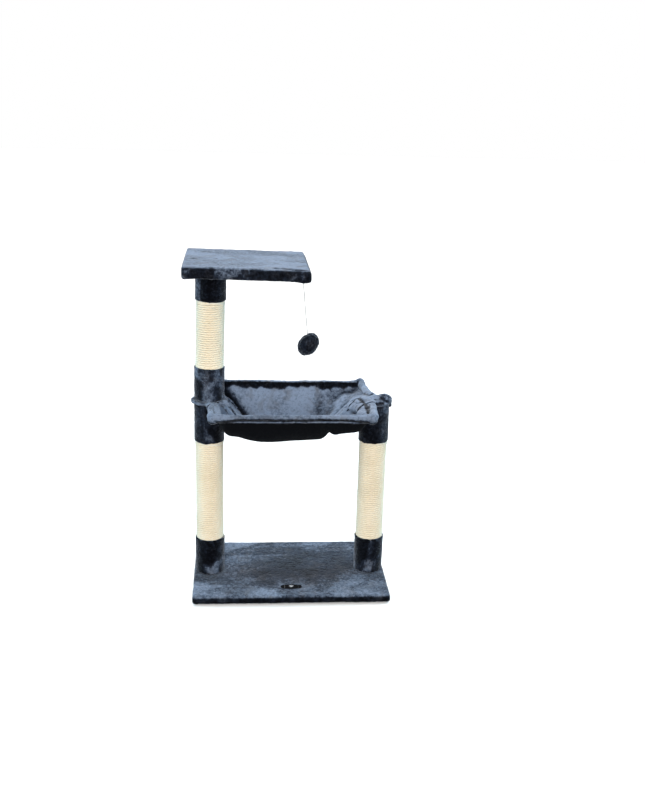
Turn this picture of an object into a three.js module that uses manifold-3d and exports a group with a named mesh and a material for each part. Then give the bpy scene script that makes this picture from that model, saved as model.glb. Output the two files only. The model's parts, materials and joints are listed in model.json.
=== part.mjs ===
// Cat tree: two sisal scratching posts on a covered base, a hammock slung between them,
// a covered perch on the taller post and a plush ball that hangs from the perch.
// Millimetres. +X right, +Y back, +Z up. The origin is the middle of the base's underside.

import * as THREE from "three";
import { mergeVertices } from "three/addons/utils/BufferGeometryUtils.js";
import Module from "manifold-3d";

// Fits
const gap = 0.3;                  // between pieces that touch
const holePlay = 0.5;             // round a bolt in a plain hole
const threadPlay = 0.6;           // round a bolt in its insert

// Covered boards
const baseWidth = 500;
const baseDepth = 318;
const baseHeight = 23;
const perchWidth = 296;
const perchDepth = 254;
const perchHeight = 28;
const perchOffset = 83;           // perch's middle, to the right of the post's axis
const boardCorner = 6;            // corner radius of a board in plan
const coverEdge = 3;              // rounding of a cover's edges
const coverThickness = 3;         // plush with its backing
const hemWidth = 24;              // how far the plush turns under a board
const linerThickness = 1.2;       // cloth that closes the underside
const linerInset = 9;
const slitLength = 22;            // cut in the perch's plush, for the bolt below it
const slitWidth = 1.2;

// Posts
const postInset = 41;             // base's side to a post's axis
const tubeRadius = 30;
const tubeWall = 4;
const ropeThickness = 5.4;
const sleeveThickness = 7.5;
const lowerHeight = 461.5;        // both lower posts
const lowerFootSleeve = 94.5;
const lowerHeadSleeve = 99;
const upperHeight = 323;          // second section of the left post
const upperFootSleeve = 81;
const upperHeadSleeve = 73.5;
const jointGap = 12;              // between the left post's sections, for the hammock's tab
const lean = THREE.MathUtils.degToRad(1.13);

// Plugs and fasteners
const plugHeight = 24;
const insertLength = 17;
const insertRadius = 6.2;
const flangeRadius = 10;
const flangeThickness = 1.6;
const boltRadius = 4;
const boltReach = 14;             // thread inside an insert
const headRadius = 7.5;           // across a hexagon's corners
const headHeight = 5.3;
const washerRadius = 11;
const washerThickness = 1.6;

// Hammock
const railSpan = 290;             // front rail to back rail, between the rods' middles
const railInsetLeft = 6.5;        // rod corner, inboard of the left post's axis
const railInsetRight = 17;
const railCorner = 14;
const rodRadius = 2.6;
const eyeRadius = 9.5;
const eyeThickness = 2.4;
const clothThickness = 4;
const clothSag = 105;             // rods' middle to the lowest point of the underside
const hemRoll = 8.5;              // radius of the rolled hem round the rods
const hemClearance = 4.5;         // from a post to the end of a rolled hem
const tabOverhang = 7;            // of a tab past its post
const tabWidth = 76;
const hoodThickness = 4;          // plush over the right post's bolt
const knobRadii = new THREE.Vector3(25, 26, 17);
const knobOffset = 22;            // middle of the bunched tab end, outboard of the post's axis

// Hanging toy
const toyFromSide = 14;
const toyFromFront = 23;
const toyTilt = THREE.MathUtils.degToRad(5.8);
const toyDrop = 148;              // pivot to the ball's middle
const stringRadius = 0.8;
const ballLength = 60;
const ballThickness = 45;
const ballTurn = THREE.MathUtils.degToRad(45);
const ballCover = 4;
const loopRadius = 3.6;
const loopWire = 0.8;
const stapleWidth = 13;
const stapleWire = 0.6;
const stapleDepth = 9;            // in the perch board
const stapleDrop = 5.2;           // crown below the perch

// Label
const labelWidth = 54;
const labelDepth = 21;
const labelPoint = 7;             // length of each pointed end
const labelThickness = 0.8;
const labelFromFront = 49;        // base's front to the label's middle

// Facets
const roundSides = 24;
const smallSides = 12;
const rodSides = 8;
const bendSteps = 2;
const stringSides = 8;
const stringSteps = 24;

// Worked out from the sizes above
const postX = baseWidth / 2 - postInset;
const sleeveRadius = tubeRadius + sleeveThickness;
const postTop = baseHeight + lowerHeight;
const frameLevel = postTop + jointGap / 2;
const leanDrop = sleeveRadius * Math.sin(lean);
const tabThickness = jointGap - 2 * gap - leanDrop;
const slotHalf = Math.max(rodRadius, eyeThickness + gap / 2) + gap;
const hemEnd = sleeveRadius + hemClearance;
const boardBottom = linerThickness + coverThickness + 2 * gap;

const shades = { plush: 0x46536e, sisal: 0xeadfbe, wood: 0xc9ab7c, paper: 0xb99a6b };
const plushMaterial = { color: shades.plush, roughness: 0.95, metalness: 0 };
const sisalMaterial = { color: shades.sisal, roughness: 0.9, metalness: 0 };
const woodMaterial = { color: shades.wood, roughness: 0.8, metalness: 0 };
const paperMaterial = { color: shades.paper, roughness: 0.9, metalness: 0 };
const steelMaterial = { color: 0xa9adb2, roughness: 0.35, metalness: 1 };
const linerMaterial = { color: 0x24272e, roughness: 0.95, metalness: 0 };
const labelMaterial = { color: 0x101114, roughness: 0.6, metalness: 0 };
const stringMaterial = { color: 0xe8e6df, roughness: 0.8, metalness: 0 };
const foamMaterial = { color: 0xd9d6cc, roughness: 0.95, metalness: 0 };

const wasm = await Module();
wasm.setup();

// ---- geometry helpers ----

function signedVolume(geometry) {
  const position = geometry.attributes.position;
  const index = geometry.index;
  const corners = [new THREE.Vector3(), new THREE.Vector3(), new THREE.Vector3()];
  let total = 0;
  for (let i = 0; i < index.count; i += 3) {
    corners.forEach((corner, k) => corner.fromBufferAttribute(position, index.getX(i + k)));
    total += corners[0].dot(corners[1].clone().cross(corners[2])) / 6;
  }
  return total;
}

// Shared vertices merged and faces turned outwards.
function closed(geometry) {
  const bare = geometry.index ? geometry.toNonIndexed() : geometry.clone();
  bare.deleteAttribute("normal");
  bare.deleteAttribute("uv");
  const merged = mergeVertices(bare, 1e-4);
  if (signedVolume(merged) < 0) {
    const index = merged.index;
    for (let i = 0; i < index.count; i += 3) {
      const second = index.getX(i + 1);
      index.setX(i + 1, index.getX(i + 2));
      index.setX(i + 2, second);
    }
  }
  return merged;
}

function toSolid(geometry) {
  const merged = closed(geometry);
  const vertProperties = new Float32Array(merged.attributes.position.array);
  const triVerts = new Uint32Array(merged.index.array);
  return new wasm.Manifold(new wasm.Mesh({ numProp: 3, vertProperties, triVerts }));
}

function toGeometry(solid) {
  const mesh = solid.getMesh();
  const geometry = new THREE.BufferGeometry();
  geometry.setAttribute("position", new THREE.BufferAttribute(mesh.vertProperties, 3));
  geometry.setIndex(new THREE.BufferAttribute(mesh.triVerts, 1));
  geometry.computeVertexNormals();
  return geometry;
}

function join(pieces) {
  return pieces.reduce((whole, piece) => whole.add(piece));
}

function cut(solid, tools) {
  return tools.reduce((left, tool) => left.subtract(tool), solid);
}

function block(x0, x1, y0, y1, z0, z1) {
  const geometry = new THREE.BoxGeometry(x1 - x0, y1 - y0, z1 - z0);
  geometry.translate((x0 + x1) / 2, (y0 + y1) / 2, (z0 + z1) / 2);
  return geometry;
}

// Upright cylinder from z0 to z1.
function disc(radius, z0, z1, x = 0, y = 0, sides = roundSides) {
  const geometry = new THREE.CylinderGeometry(radius, radius, z1 - z0, sides);
  geometry.rotateX(Math.PI / 2);
  geometry.translate(x, y, (z0 + z1) / 2);
  return geometry;
}

// Solid of revolution about Z from [radius, z] points that close on themselves or on the axis.
function turned(profile, sides = roundSides) {
  const points = profile.map(([radius, z]) => new THREE.Vector2(radius, z));
  const geometry = new THREE.LatheGeometry(points, sides);
  geometry.rotateX(Math.PI / 2);
  return geometry;
}

function ring(outer, inner, z0, z1, sides = roundSides) {
  return turned([[inner, z0], [outer, z0], [outer, z1], [inner, z1], [inner, z0]], sides);
}

function hexagon(radius, z0, z1) {
  return disc(radius, z0, z1, 0, 0, 6);
}

function rounded(width, depth, radius) {
  const shape = new THREE.Shape();
  const x = width / 2;
  const y = depth / 2;
  shape.moveTo(-x + radius, -y);
  shape.lineTo(x - radius, -y);
  shape.absarc(x - radius, -y + radius, radius, -Math.PI / 2, 0);
  shape.absarc(x - radius, y - radius, radius, 0, Math.PI / 2);
  shape.absarc(-x + radius, y - radius, radius, Math.PI / 2, Math.PI);
  shape.absarc(-x + radius, -y + radius, radius, Math.PI, Math.PI * 1.5);
  return shape;
}

// Rounded rectangle from z0 to z1, with its top and bottom edges rounded by edge.
function slab(width, depth, corner, z0, z1, edge = 0) {
  const shape = rounded(width - 2 * edge, depth - 2 * edge, Math.max(corner - edge, 1));
  const geometry = new THREE.ExtrudeGeometry(shape, {
    depth: z1 - z0 - 2 * edge,
    bevelEnabled: edge > 0,
    bevelThickness: edge,
    bevelSize: edge,
    bevelSegments: 2,
    curveSegments: 2,
  });
  geometry.translate(0, 0, z0 + edge);
  return geometry;
}

// Round bar through a list of points, with a ball at each bend.
function bar(points, radius) {
  const pieces = [];
  const up = new THREE.Vector3(0, 1, 0);
  for (let i = 0; i + 1 < points.length; i += 1) {
    const run = points[i + 1].clone().sub(points[i]);
    const length = run.length();
    const geometry = new THREE.CylinderGeometry(radius, radius, length, rodSides);
    geometry.applyQuaternion(new THREE.Quaternion().setFromUnitVectors(up, run.normalize()));
    const middle = points[i].clone().add(points[i + 1]).multiplyScalar(0.5);
    geometry.translate(middle.x, middle.y, middle.z);
    pieces.push(toSolid(geometry));
    if (i > 0) {
      const elbow = new THREE.SphereGeometry(radius, rodSides, rodSides / 2);
      elbow.translate(points[i].x, points[i].y, points[i].z);
      pieces.push(toSolid(elbow));
    }
  }
  return join(pieces);
}

function place(parent, name, geometry, material) {
  const mesh = new THREE.Mesh(geometry, new THREE.MeshStandardMaterial(material));
  mesh.name = name;
  parent.add(mesh);
  return mesh;
}

// ---- covered boards ----

// Board, plush cover and liner stacked from z = 0 up. The holes are lists of cutting tools.
function coveredBoard(parent, name, size, holes) {
  const { width, depth, height } = size;
  const boardTop = height - coverThickness - gap;
  const boardWidth = width - 2 * (coverThickness + gap);
  const boardDepth = depth - 2 * (coverThickness + gap);
  const coverBottom = linerThickness + gap;

  const board = toSolid(slab(boardWidth, boardDepth, boardCorner, boardBottom, boardTop));
  place(parent, `${name}_board`, toGeometry(cut(board, holes.board)), woodMaterial);

  const outside = toSolid(slab(width, depth, boardCorner + coverThickness, coverBottom, height, coverEdge));
  const inside = toSolid(slab(
    boardWidth + 2 * gap, boardDepth + 2 * gap, boardCorner + gap, boardBottom - gap, boardTop + gap,
  ));
  const window = toSolid(slab(
    width - 2 * hemWidth, depth - 2 * hemWidth, boardCorner, coverBottom - 1, boardBottom,
  ));
  const cover = cut(outside, [inside, window, ...holes.cover]);
  place(parent, `${name}_cover`, toGeometry(cover), plushMaterial);

  const liner = toSolid(slab(
    width - 2 * linerInset, depth - 2 * linerInset, boardCorner, 0, linerThickness,
  ));
  place(parent, `${name}_liner`, toGeometry(cut(liner, holes.liner)), linerMaterial);
}

// ---- post sections ----

// Threaded insert whose flange is flush with a plug's outer end.
function insert(parent, name, z, up) {
  const bore = boltRadius + threadPlay;
  const steps = [
    [bore, 0], [flangeRadius, 0], [flangeRadius, flangeThickness],
    [insertRadius, flangeThickness], [insertRadius, insertLength], [bore, insertLength], [bore, 0],
  ];
  const profile = steps.map(([radius, depth]) => [radius, z - up * depth]);
  place(parent, name, closed(turned(profile, smallSides)), steelMaterial);
}

// Plug with a stepped hole for its insert and a blind end beyond it.
function plug(parent, name, z, up) {
  const radius = tubeRadius - tubeWall - gap;
  const steps = [
    [flangeRadius + gap, 0], [radius, 0], [radius, plugHeight],
    [insertRadius + gap, plugHeight], [insertRadius + gap, flangeThickness + gap],
    [flangeRadius + gap, flangeThickness + gap], [flangeRadius + gap, 0],
  ];
  const profile = steps.map(([r, depth]) => [r, z - up * depth]);
  place(parent, name, closed(turned(profile)), woodMaterial);
}

// Cardboard tube with a plug in each end, sisal between two plush sleeves.
function postSection(parent, name, length, footSleeve, headSleeve) {
  const bore = tubeRadius + gap;
  const ropeRadius = tubeRadius + ropeThickness;
  place(parent, `${name}_tube`, closed(ring(tubeRadius, tubeRadius - tubeWall, 0, length)), paperMaterial);
  plug(parent, `${name}_bottom_plug`, 0, -1);
  insert(parent, `${name}_bottom_insert`, 0, -1);
  plug(parent, `${name}_top_plug`, length, 1);
  insert(parent, `${name}_top_insert`, length, 1);
  const ropeFoot = footSleeve + gap;
  const ropeHead = length - headSleeve - gap;
  place(parent, `${name}_foot_sleeve`, closed(ring(sleeveRadius, bore, 0, footSleeve)), plushMaterial);
  place(parent, `${name}_sisal`, closed(ring(ropeRadius, bore, ropeFoot, ropeHead)), sisalMaterial);
  const head = ring(sleeveRadius, bore, length - headSleeve, length);
  place(parent, `${name}_head_sleeve`, closed(head), plushMaterial);
}

// ---- fasteners ----

// Hexagon bolt whose head's bearing face is at z. up is 1 where the head is on top.
function bolt(parent, name, z, up, shankLength) {
  const headEnd = z + up * headHeight;
  const head = toSolid(hexagon(headRadius, Math.min(z, headEnd), Math.max(z, headEnd)));
  const tip = z - up * shankLength;
  const root = z + up * headHeight / 2;
  const shank = toSolid(disc(boltRadius, Math.min(tip, root), Math.max(tip, root), 0, 0, smallSides));
  return place(parent, name, toGeometry(head.add(shank)), steelMaterial);
}

function washer(parent, name, z0) {
  const shape = ring(washerRadius, boltRadius + holePlay, z0, z0 + washerThickness, smallSides);
  return place(parent, name, closed(shape), steelMaterial);
}

// ---- hammock ----

// Rod's side arm: from a corner of the frame to the eye on the post's axis.
function armX(side, y) {
  const inset = side < 0 ? railInsetLeft : railInsetRight;
  return side * (postX - inset * Math.abs(y) / (railSpan / 2));
}

// One half of the frame: a U of rod with an eye at each end. half is -1 in front, 1 behind.
function framePath(half, stop) {
  const y = half * railSpan / 2;
  const corners = [-1, 1].map((side) => new THREE.Vector3(armX(side, y), y, 0));
  const ends = [-1, 1].map((side) => new THREE.Vector3(armX(side, stop), half * stop, 0));
  const chain = [ends[0], corners[0], corners[1], ends[1]];
  const points = [chain[0]];
  for (const i of [1, 2]) {
    const before = chain[i - 1].clone().sub(chain[i]).setLength(railCorner).add(chain[i]);
    const after = chain[i + 1].clone().sub(chain[i]).setLength(railCorner).add(chain[i]);
    points.push(...new THREE.QuadraticBezierCurve3(before, chain[i], after).getPoints(bendSteps));
  }
  points.push(chain[3]);
  return points;
}

function hammockFrame(parent, name, half) {
  const level = half * (gap / 2 + eyeThickness / 2);
  const rodStop = eyeRadius + 2;
  const pieces = [bar(framePath(half, rodStop), rodRadius)];
  for (const side of [-1, 1]) {
    const low = level - eyeThickness / 2;
    const high = level + eyeThickness / 2;
    const eye = disc(eyeRadius, low, high, side * postX, 0, smallSides);
    const inner = half * (eyeRadius - 1);
    const outer = half * (rodStop + 2 * rodRadius);
    const middle = armX(side, rodStop);
    const neck = block(
      middle - rodRadius, middle + rodRadius, Math.min(inner, outer), Math.max(inner, outer), low, high,
    );
    pieces.push(toSolid(eye), toSolid(neck));
  }
  const holes = [-1, 1].map((side) => (
    toSolid(disc(boltRadius + holePlay, -eyeThickness * 2, eyeThickness * 2, side * postX, 0, smallSides))
  ));
  place(parent, name, toGeometry(cut(join(pieces), holes)), steelMaterial);
}

// Edge of the hanging cloth at depth y: along the arm, or round the post where the post stands.
function clothEdge(side, y) {
  const postArc = sleeveRadius + gap + clothThickness;
  const round = Math.abs(y) < postArc ? Math.sqrt(postArc ** 2 - y ** 2) : 0;
  return side * Math.min(Math.abs(armX(side, y)), postX - round);
}

// Point of the cloth's middle surface for s and t from -1 to 1.
function clothPoint(s, t) {
  const y = t * railSpan / 2;
  const x = THREE.MathUtils.lerp(clothEdge(-1, y), clothEdge(1, y), (s + 1) / 2);
  const fall = (1 - Math.abs(s) ** 6) * (1 - Math.abs(t) ** 2.4);
  return new THREE.Vector3(x, y, -(clothSag - clothThickness / 2) * fall);
}

function clothSheet() {
  const geometry = new THREE.BoxGeometry(2, 2, clothThickness, 18, 16, 1);
  const position = geometry.attributes.position;
  const step = 0.01;
  for (let i = 0; i < position.count; i += 1) {
    const s = position.getX(i);
    const t = position.getY(i);
    const along = clothPoint(Math.min(s + step, 1), t).sub(clothPoint(Math.max(s - step, -1), t));
    const across = clothPoint(s, Math.min(t + step, 1)).sub(clothPoint(s, Math.max(t - step, -1)));
    const normal = along.cross(across).normalize();
    const point = clothPoint(s, t).addScaledVector(normal, position.getZ(i));
    position.setXYZ(i, point.x, point.y, point.z);
  }
  return toSolid(geometry);
}

// Cloth with a rolled hem round each half of the frame, open at the posts.
function hammockCloth(parent) {
  const pieces = [clothSheet()];
  const bores = [];
  for (const half of [-1, 1]) {
    pieces.push(bar(framePath(half, hemEnd), hemRoll));
    bores.push(bar(framePath(half, hemEnd - hemClearance), rodRadius + gap));
  }
  place(parent, "hammock_cloth", toGeometry(cut(join(pieces), bores)), plushMaterial);
}

// Outline of a tab over a post's end: a disc, wider past the post on its outer side.
function tabPlate(side, z0, z1) {
  const inner = toSolid(disc(sleeveRadius - coverThickness, z0, z1, side * postX));
  const outerDisc = toSolid(disc(sleeveRadius + tabOverhang, z0, z1, side * postX));
  const far = side * (postX + sleeveRadius + 2 * tabOverhang);
  const near = side * postX;
  const half = Math.min(tabWidth / 2, sleeveRadius);
  const keep = toSolid(block(Math.min(far, near), Math.max(far, near), -half, half, z0 - 1, z1 + 1));
  return inner.add(outerDisc.intersect(keep));
}

// Slot through a tab for the rods and their eyes.
function tabSlot(side) {
  const half = eyeRadius + gap + 1.2;
  return toSolid(block(
    side * postX - half, side * postX + half, -tabWidth, tabWidth, -slotHalf, slotHalf,
  ));
}

function leftTab(parent) {
  const bottom = -jointGap / 2 + gap;
  const hole = disc(boltRadius + holePlay, -jointGap, jointGap, -postX, 0, smallSides);
  const tab = cut(tabPlate(-1, bottom, bottom + tabThickness), [tabSlot(-1), toSolid(hole)]);
  place(parent, "hammock_left_tab", toGeometry(tab), plushMaterial);
}

// Right tab: a hood over the bolt that ends in a bunched knob past the post.
function rightTab(parent, headTop) {
  const bottom = -jointGap / 2 + gap;
  const top = headTop + gap + hoodThickness;
  const knob = new THREE.SphereGeometry(1, 20, 12);
  knob.scale(knobRadii.x, knobRadii.y, knobRadii.z);
  knob.translate(postX + knobOffset, 0, 0);
  const tools = [
    tabSlot(1),
    toSolid(disc(boltRadius + holePlay, -jointGap, 0, postX, 0, smallSides)),
    toSolid(disc(washerRadius + gap, 0, headTop + gap, postX, 0, smallSides)),
    toSolid(disc(sleeveRadius + gap, -knobRadii.z * 2, bottom, postX)),
  ];
  const tab = cut(tabPlate(1, bottom, top).add(toSolid(knob)), tools);
  place(parent, "hammock_right_tab", toGeometry(tab), plushMaterial);
}

// ---- hanging toy ----

// Distance from an egg's middle to its surface along the string.
function eggReach(long, short) {
  return 1 / Math.hypot(Math.sin(ballTurn) / long, Math.cos(ballTurn) / short);
}

function egg(long, short) {
  const geometry = new THREE.SphereGeometry(1, 16, 10);
  geometry.scale(long, short, short);
  geometry.rotateY(-ballTurn);
  return toSolid(geometry);
}

function toyBall(parent) {
  const long = ballLength / 2;
  const short = ballThickness / 2;
  const hole = toSolid(disc(stringRadius + holePlay, 0, ballLength, 0, 0, smallSides));
  const cavity = egg(long - ballCover, short - ballCover);
  const shell = toGeometry(cut(egg(long, short), [cavity, hole]));
  const cover = place(parent, "toy_ball_cover", shell, plushMaterial);
  const stuffing = egg(long - ballCover - gap, short - ballCover - gap);
  const core = place(parent, "toy_ball_core", toGeometry(stuffing), foamMaterial);
  cover.position.z = -toyDrop;
  core.position.z = -toyDrop;
  return -toyDrop + eggReach(long - ballCover - gap, short - ballCover - gap);
}

function toyString(parent, bottom) {
  const top = -loopRadius - loopWire - gap;
  const section = new THREE.Shape();
  section.absarc(0, 0, stringRadius, 0, Math.PI * 2);
  const path = new THREE.LineCurve3(new THREE.Vector3(0, 0, top), new THREE.Vector3(0, 0, bottom + gap));
  const geometry = new THREE.ExtrudeGeometry(section, {
    steps: stringSteps,
    bevelEnabled: false,
    extrudePath: path,
    curveSegments: stringSides / 2,
  });
  place(parent, "toy_string", closed(geometry), stringMaterial);
}

// U of wire driven up into the perch from below; its crown lies along X.
function staplePath() {
  const half = stapleWidth / 2;
  return [
    new THREE.Vector3(-half, 0, stapleDrop + linerThickness + coverThickness + stapleDepth),
    new THREE.Vector3(-half, 0, 0),
    new THREE.Vector3(half, 0, 0),
    new THREE.Vector3(half, 0, stapleDrop + linerThickness + coverThickness + stapleDepth),
  ];
}

// ---- assembly ----

const group = new THREE.Group();

// Base: bolts come up through it from recesses in its board.
const recessDepth = headHeight + washerThickness + 3 * gap;
const footBearing = boardBottom + recessDepth - washerThickness - 2 * gap;
const footHoles = (radius, z0, z1) => (
  [-1, 1].map((side) => toSolid(disc(radius, z0, z1, side * postX, 0, smallSides)))
);
coveredBoard(group, "base", { width: baseWidth, depth: baseDepth, height: baseHeight }, {
  board: [
    ...footHoles(boltRadius + holePlay, 0, baseHeight),
    ...footHoles(washerRadius + holePlay, 0, boardBottom + recessDepth),
  ],
  cover: [
    ...footHoles(boltRadius + holePlay, boardBottom, baseHeight + 1),
    ...footHoles(washerRadius + holePlay, 0, boardBottom + gap / 2),
  ],
  liner: footHoles(washerRadius + holePlay, -1, linerThickness + 1),
});

const labelShape = new THREE.Shape();
labelShape.moveTo(-labelWidth / 2, 0);
labelShape.lineTo(-labelWidth / 2 + labelPoint, -labelDepth / 2);
labelShape.lineTo(labelWidth / 2 - labelPoint, -labelDepth / 2);
labelShape.lineTo(labelWidth / 2, 0);
labelShape.lineTo(labelWidth / 2 - labelPoint, labelDepth / 2);
labelShape.lineTo(-labelWidth / 2 + labelPoint, labelDepth / 2);
const labelGeometry = new THREE.ExtrudeGeometry(labelShape, { depth: labelThickness, bevelEnabled: false });
const label = place(group, "base_label", closed(labelGeometry), labelMaterial);
label.position.set(0, -baseDepth / 2 + labelFromFront, baseHeight + gap);

// Lower posts, with their foot bolts.
for (const [side, name] of [[-1, "left_lower"], [1, "right"]]) {
  const post = new THREE.Group();
  post.position.set(side * postX, 0, baseHeight + gap);
  postSection(post, name, lowerHeight - gap, lowerFootSleeve, lowerHeadSleeve);
  group.add(post);
  const foot = new THREE.Group();
  foot.position.set(side * postX, 0, 0);
  const shank = baseHeight - footBearing + boltReach;
  bolt(foot, `${name}_foot_bolt`, footBearing, -1, shank);
  washer(foot, `${name}_foot_washer`, footBearing + gap);
  group.add(foot);
}

// Hammock between the posts, at the level of the left post's joint.
const hammock = new THREE.Group();
hammock.position.z = frameLevel;
hammockFrame(hammock, "hammock_front_frame", -1);
hammockFrame(hammock, "hammock_back_frame", 1);
hammockCloth(hammock);
leftTab(hammock);
const clampTop = gap / 2 + eyeThickness + gap;
const headBearing = clampTop + washerThickness + gap;
rightTab(hammock, headBearing + headHeight);
const rightTop = new THREE.Group();
rightTop.position.x = postX;
bolt(rightTop, "right_top_bolt", headBearing, 1, headBearing + jointGap / 2 + boltReach);
washer(rightTop, "right_top_washer", clampTop);
hammock.add(rightTop);
group.add(hammock);

// Stud through the left post's joint, turned by half of the lean.
const studReach = jointGap / 2 + boltReach;
const studRod = closed(disc(boltRadius, -studReach, studReach, 0, 0, smallSides));
const stud = place(group, "left_joint_stud", studRod, steelMaterial);
stud.position.set(-postX, 0, frameLevel);
stud.rotation.y = lean / 2;

// Upper post and perch lean together about the joint.
const upper = new THREE.Group();
upper.position.set(-postX, 0, frameLevel);
upper.rotation.y = lean;
group.add(upper);
const upperPost = new THREE.Group();
upperPost.position.z = jointGap / 2;
postSection(upperPost, "left_upper", upperHeight - gap, upperFootSleeve, upperHeadSleeve);
upper.add(upperPost);

const perch = new THREE.Group();
perch.position.set(perchOffset, 0, jointGap / 2 + upperHeight);
upper.add(perch);
const perchBearing = perchHeight - coverThickness - gap - headHeight - gap;
const boltTool = (radius, z0, z1) => toSolid(disc(radius, z0, z1, -perchOffset, 0, smallSides));
const toyX = perchWidth / 2 - toyFromSide;
const toyY = -perchDepth / 2 + toyFromFront;
const stapleHole = bar(staplePath(), stapleWire + gap).translate([toyX, toyY, -stapleDrop]);
coveredBoard(perch, "perch", { width: perchWidth, depth: perchDepth, height: perchHeight }, {
  board: [
    boltTool(boltRadius + holePlay, 0, perchHeight),
    boltTool(washerRadius + holePlay, perchBearing - washerThickness - 2 * gap, perchHeight),
    stapleHole,
  ],
  cover: [
    stapleHole,
    toSolid(block(
      -perchOffset - slitLength / 2, -perchOffset + slitLength / 2, -slitWidth / 2, slitWidth / 2,
      perchHeight - coverThickness - 2 * gap, perchHeight + 1,
    )),
  ],
  liner: [boltTool(boltRadius + holePlay, -1, perchHeight), stapleHole],
});
const perchFastener = new THREE.Group();
perchFastener.position.x = -perchOffset;
bolt(perchFastener, "perch_bolt", perchBearing, 1, perchBearing + boltReach);
washer(perchFastener, "perch_washer", perchBearing - gap - washerThickness);
perch.add(perchFastener);

const staple = place(perch, "toy_staple", toGeometry(bar(staplePath(), stapleWire)), steelMaterial);
staple.position.set(toyX, toyY, -stapleDrop);

// The toy hangs from the staple's crown, out of the perch's lean.
group.updateMatrixWorld(true);
const pivot = staple.getWorldPosition(new THREE.Vector3());
const toy = new THREE.Group();
toy.position.copy(pivot);
toy.rotation.y = -toyTilt;
const loop = new THREE.TorusGeometry(loopRadius, loopWire, stringSides, smallSides);
loop.rotateY(Math.PI / 2);
place(toy, "toy_loop", closed(loop), stringMaterial);
toyString(toy, toyBall(toy));
group.add(toy);

export default group;
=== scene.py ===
import json
import math

import bmesh
import bpy
import numpy as np
from mathutils import Matrix, Vector

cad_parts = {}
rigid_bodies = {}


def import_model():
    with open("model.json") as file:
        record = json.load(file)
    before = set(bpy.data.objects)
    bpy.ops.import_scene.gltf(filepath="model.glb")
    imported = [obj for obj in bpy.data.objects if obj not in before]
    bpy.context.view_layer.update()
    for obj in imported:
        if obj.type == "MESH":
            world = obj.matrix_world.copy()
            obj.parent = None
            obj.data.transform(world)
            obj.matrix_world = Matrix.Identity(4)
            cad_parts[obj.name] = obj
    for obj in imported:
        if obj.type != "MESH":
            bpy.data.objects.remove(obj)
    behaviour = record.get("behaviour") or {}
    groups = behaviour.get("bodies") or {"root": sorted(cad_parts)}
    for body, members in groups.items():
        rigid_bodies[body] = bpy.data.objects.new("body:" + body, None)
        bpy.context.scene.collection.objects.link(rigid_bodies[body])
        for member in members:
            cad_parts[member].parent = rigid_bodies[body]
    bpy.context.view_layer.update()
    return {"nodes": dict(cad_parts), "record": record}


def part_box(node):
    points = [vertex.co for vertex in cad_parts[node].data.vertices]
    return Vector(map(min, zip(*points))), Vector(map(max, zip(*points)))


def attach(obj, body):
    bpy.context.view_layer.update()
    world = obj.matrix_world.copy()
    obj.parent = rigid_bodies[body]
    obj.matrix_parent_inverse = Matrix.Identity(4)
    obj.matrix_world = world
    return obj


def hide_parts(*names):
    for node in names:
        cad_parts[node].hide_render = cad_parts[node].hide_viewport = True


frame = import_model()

mm = 0.001
scene = bpy.context.scene
scene.view_settings.view_transform = "Standard"
for spare in [o for o in scene.objects if o.name in ("Cube", "Light", "Camera")]:
    bpy.data.objects.remove(spare)


# camera and cord first

view = {"place": (-0.1339, -2.4306, 1.2679), "pitch": 17.87, "yaw": 4.94, "roll": 1.66, "lens": 45.2}


def makeCamera():
    data = bpy.data.cameras.new("camera")
    data.lens = view["lens"]
    data.sensor_width = 36
    camera = bpy.data.objects.new("camera", data)
    turn = Matrix.Rotation(math.radians(-view["yaw"]), 4, "Z")
    tip = Matrix.Rotation(math.radians(90 - view["pitch"]), 4, "X")
    roll = Matrix.Rotation(math.radians(view["roll"]), 4, "Z")
    camera.matrix_world = Matrix.Translation(view["place"]) @ turn @ tip @ roll
    scene.collection.objects.link(camera)
    scene.camera = camera


def corners(node):
    # every vertex of a CAD node, in metres
    return np.array([v.co for v in frame["nodes"][node].data.vertices], float).reshape(-1, 3)


def axisOf(node):
    # middles of the bottom and top ends of an upright CAD piece
    p = corners(node)
    height = p[:, 2]
    cut = height.min() + 0.5 * (height.max() - height.min())
    low, high = p[height < cut], p[height >= cut]
    return Vector(low.mean(0)), Vector(high.mean(0))


makeCamera()

stringLook = {"radius": 0.8 * mm, "points": 24, "wander": 0.25 * mm, "lay": 3.2 * mm, "ply": 0.62 * mm,
              "intoLoop": 1.0 * mm}


def endMiddles(node):
    # middles of a thin tube's two ends, the lower one first
    p = corners(node)
    away = p - p.mean(0)
    way = np.linalg.svd(away, full_matrices=False)[2][0]
    place = away @ way * math.copysign(1, way[2])
    low, high = p[place < place.min() + 0.3 * mm], p[place > place.max() - 0.3 * mm]
    return Vector(low.mean(0)), Vector(high.mean(0))


def stringRoute():
    low, high = endMiddles("toy_string")
    high = high + (high - low).normalized() * stringLook["intoLoop"]
    count = stringLook["points"]
    route = []
    for i in range(count):
        t = i / (count - 1)
        sway = stringLook["wander"] * math.sin(math.pi * t) * math.sin(9 * t)
        route.append(high.lerp(low, t) + Vector((sway, 0.6 * sway, 0)))
    return route


def routeLength(route):
    return sum((b - a).length for a, b in zip(route, route[1:]))


route = stringRoute()
print("camera made, string route is", round(routeLength(route), 4))


# noise and mesh helpers

def lattice(ix, iy, iz, seed):
    h = (ix * 374761393 + iy * 668265263 + iz * 2147483647 + seed * 144665) & 0xFFFFFFFF
    h = ((h ^ (h >> 13)) * 1274126177) & 0xFFFFFFFF
    return ((h ^ (h >> 16)) & 0xFFFF) / 32767.5 - 1


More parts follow.
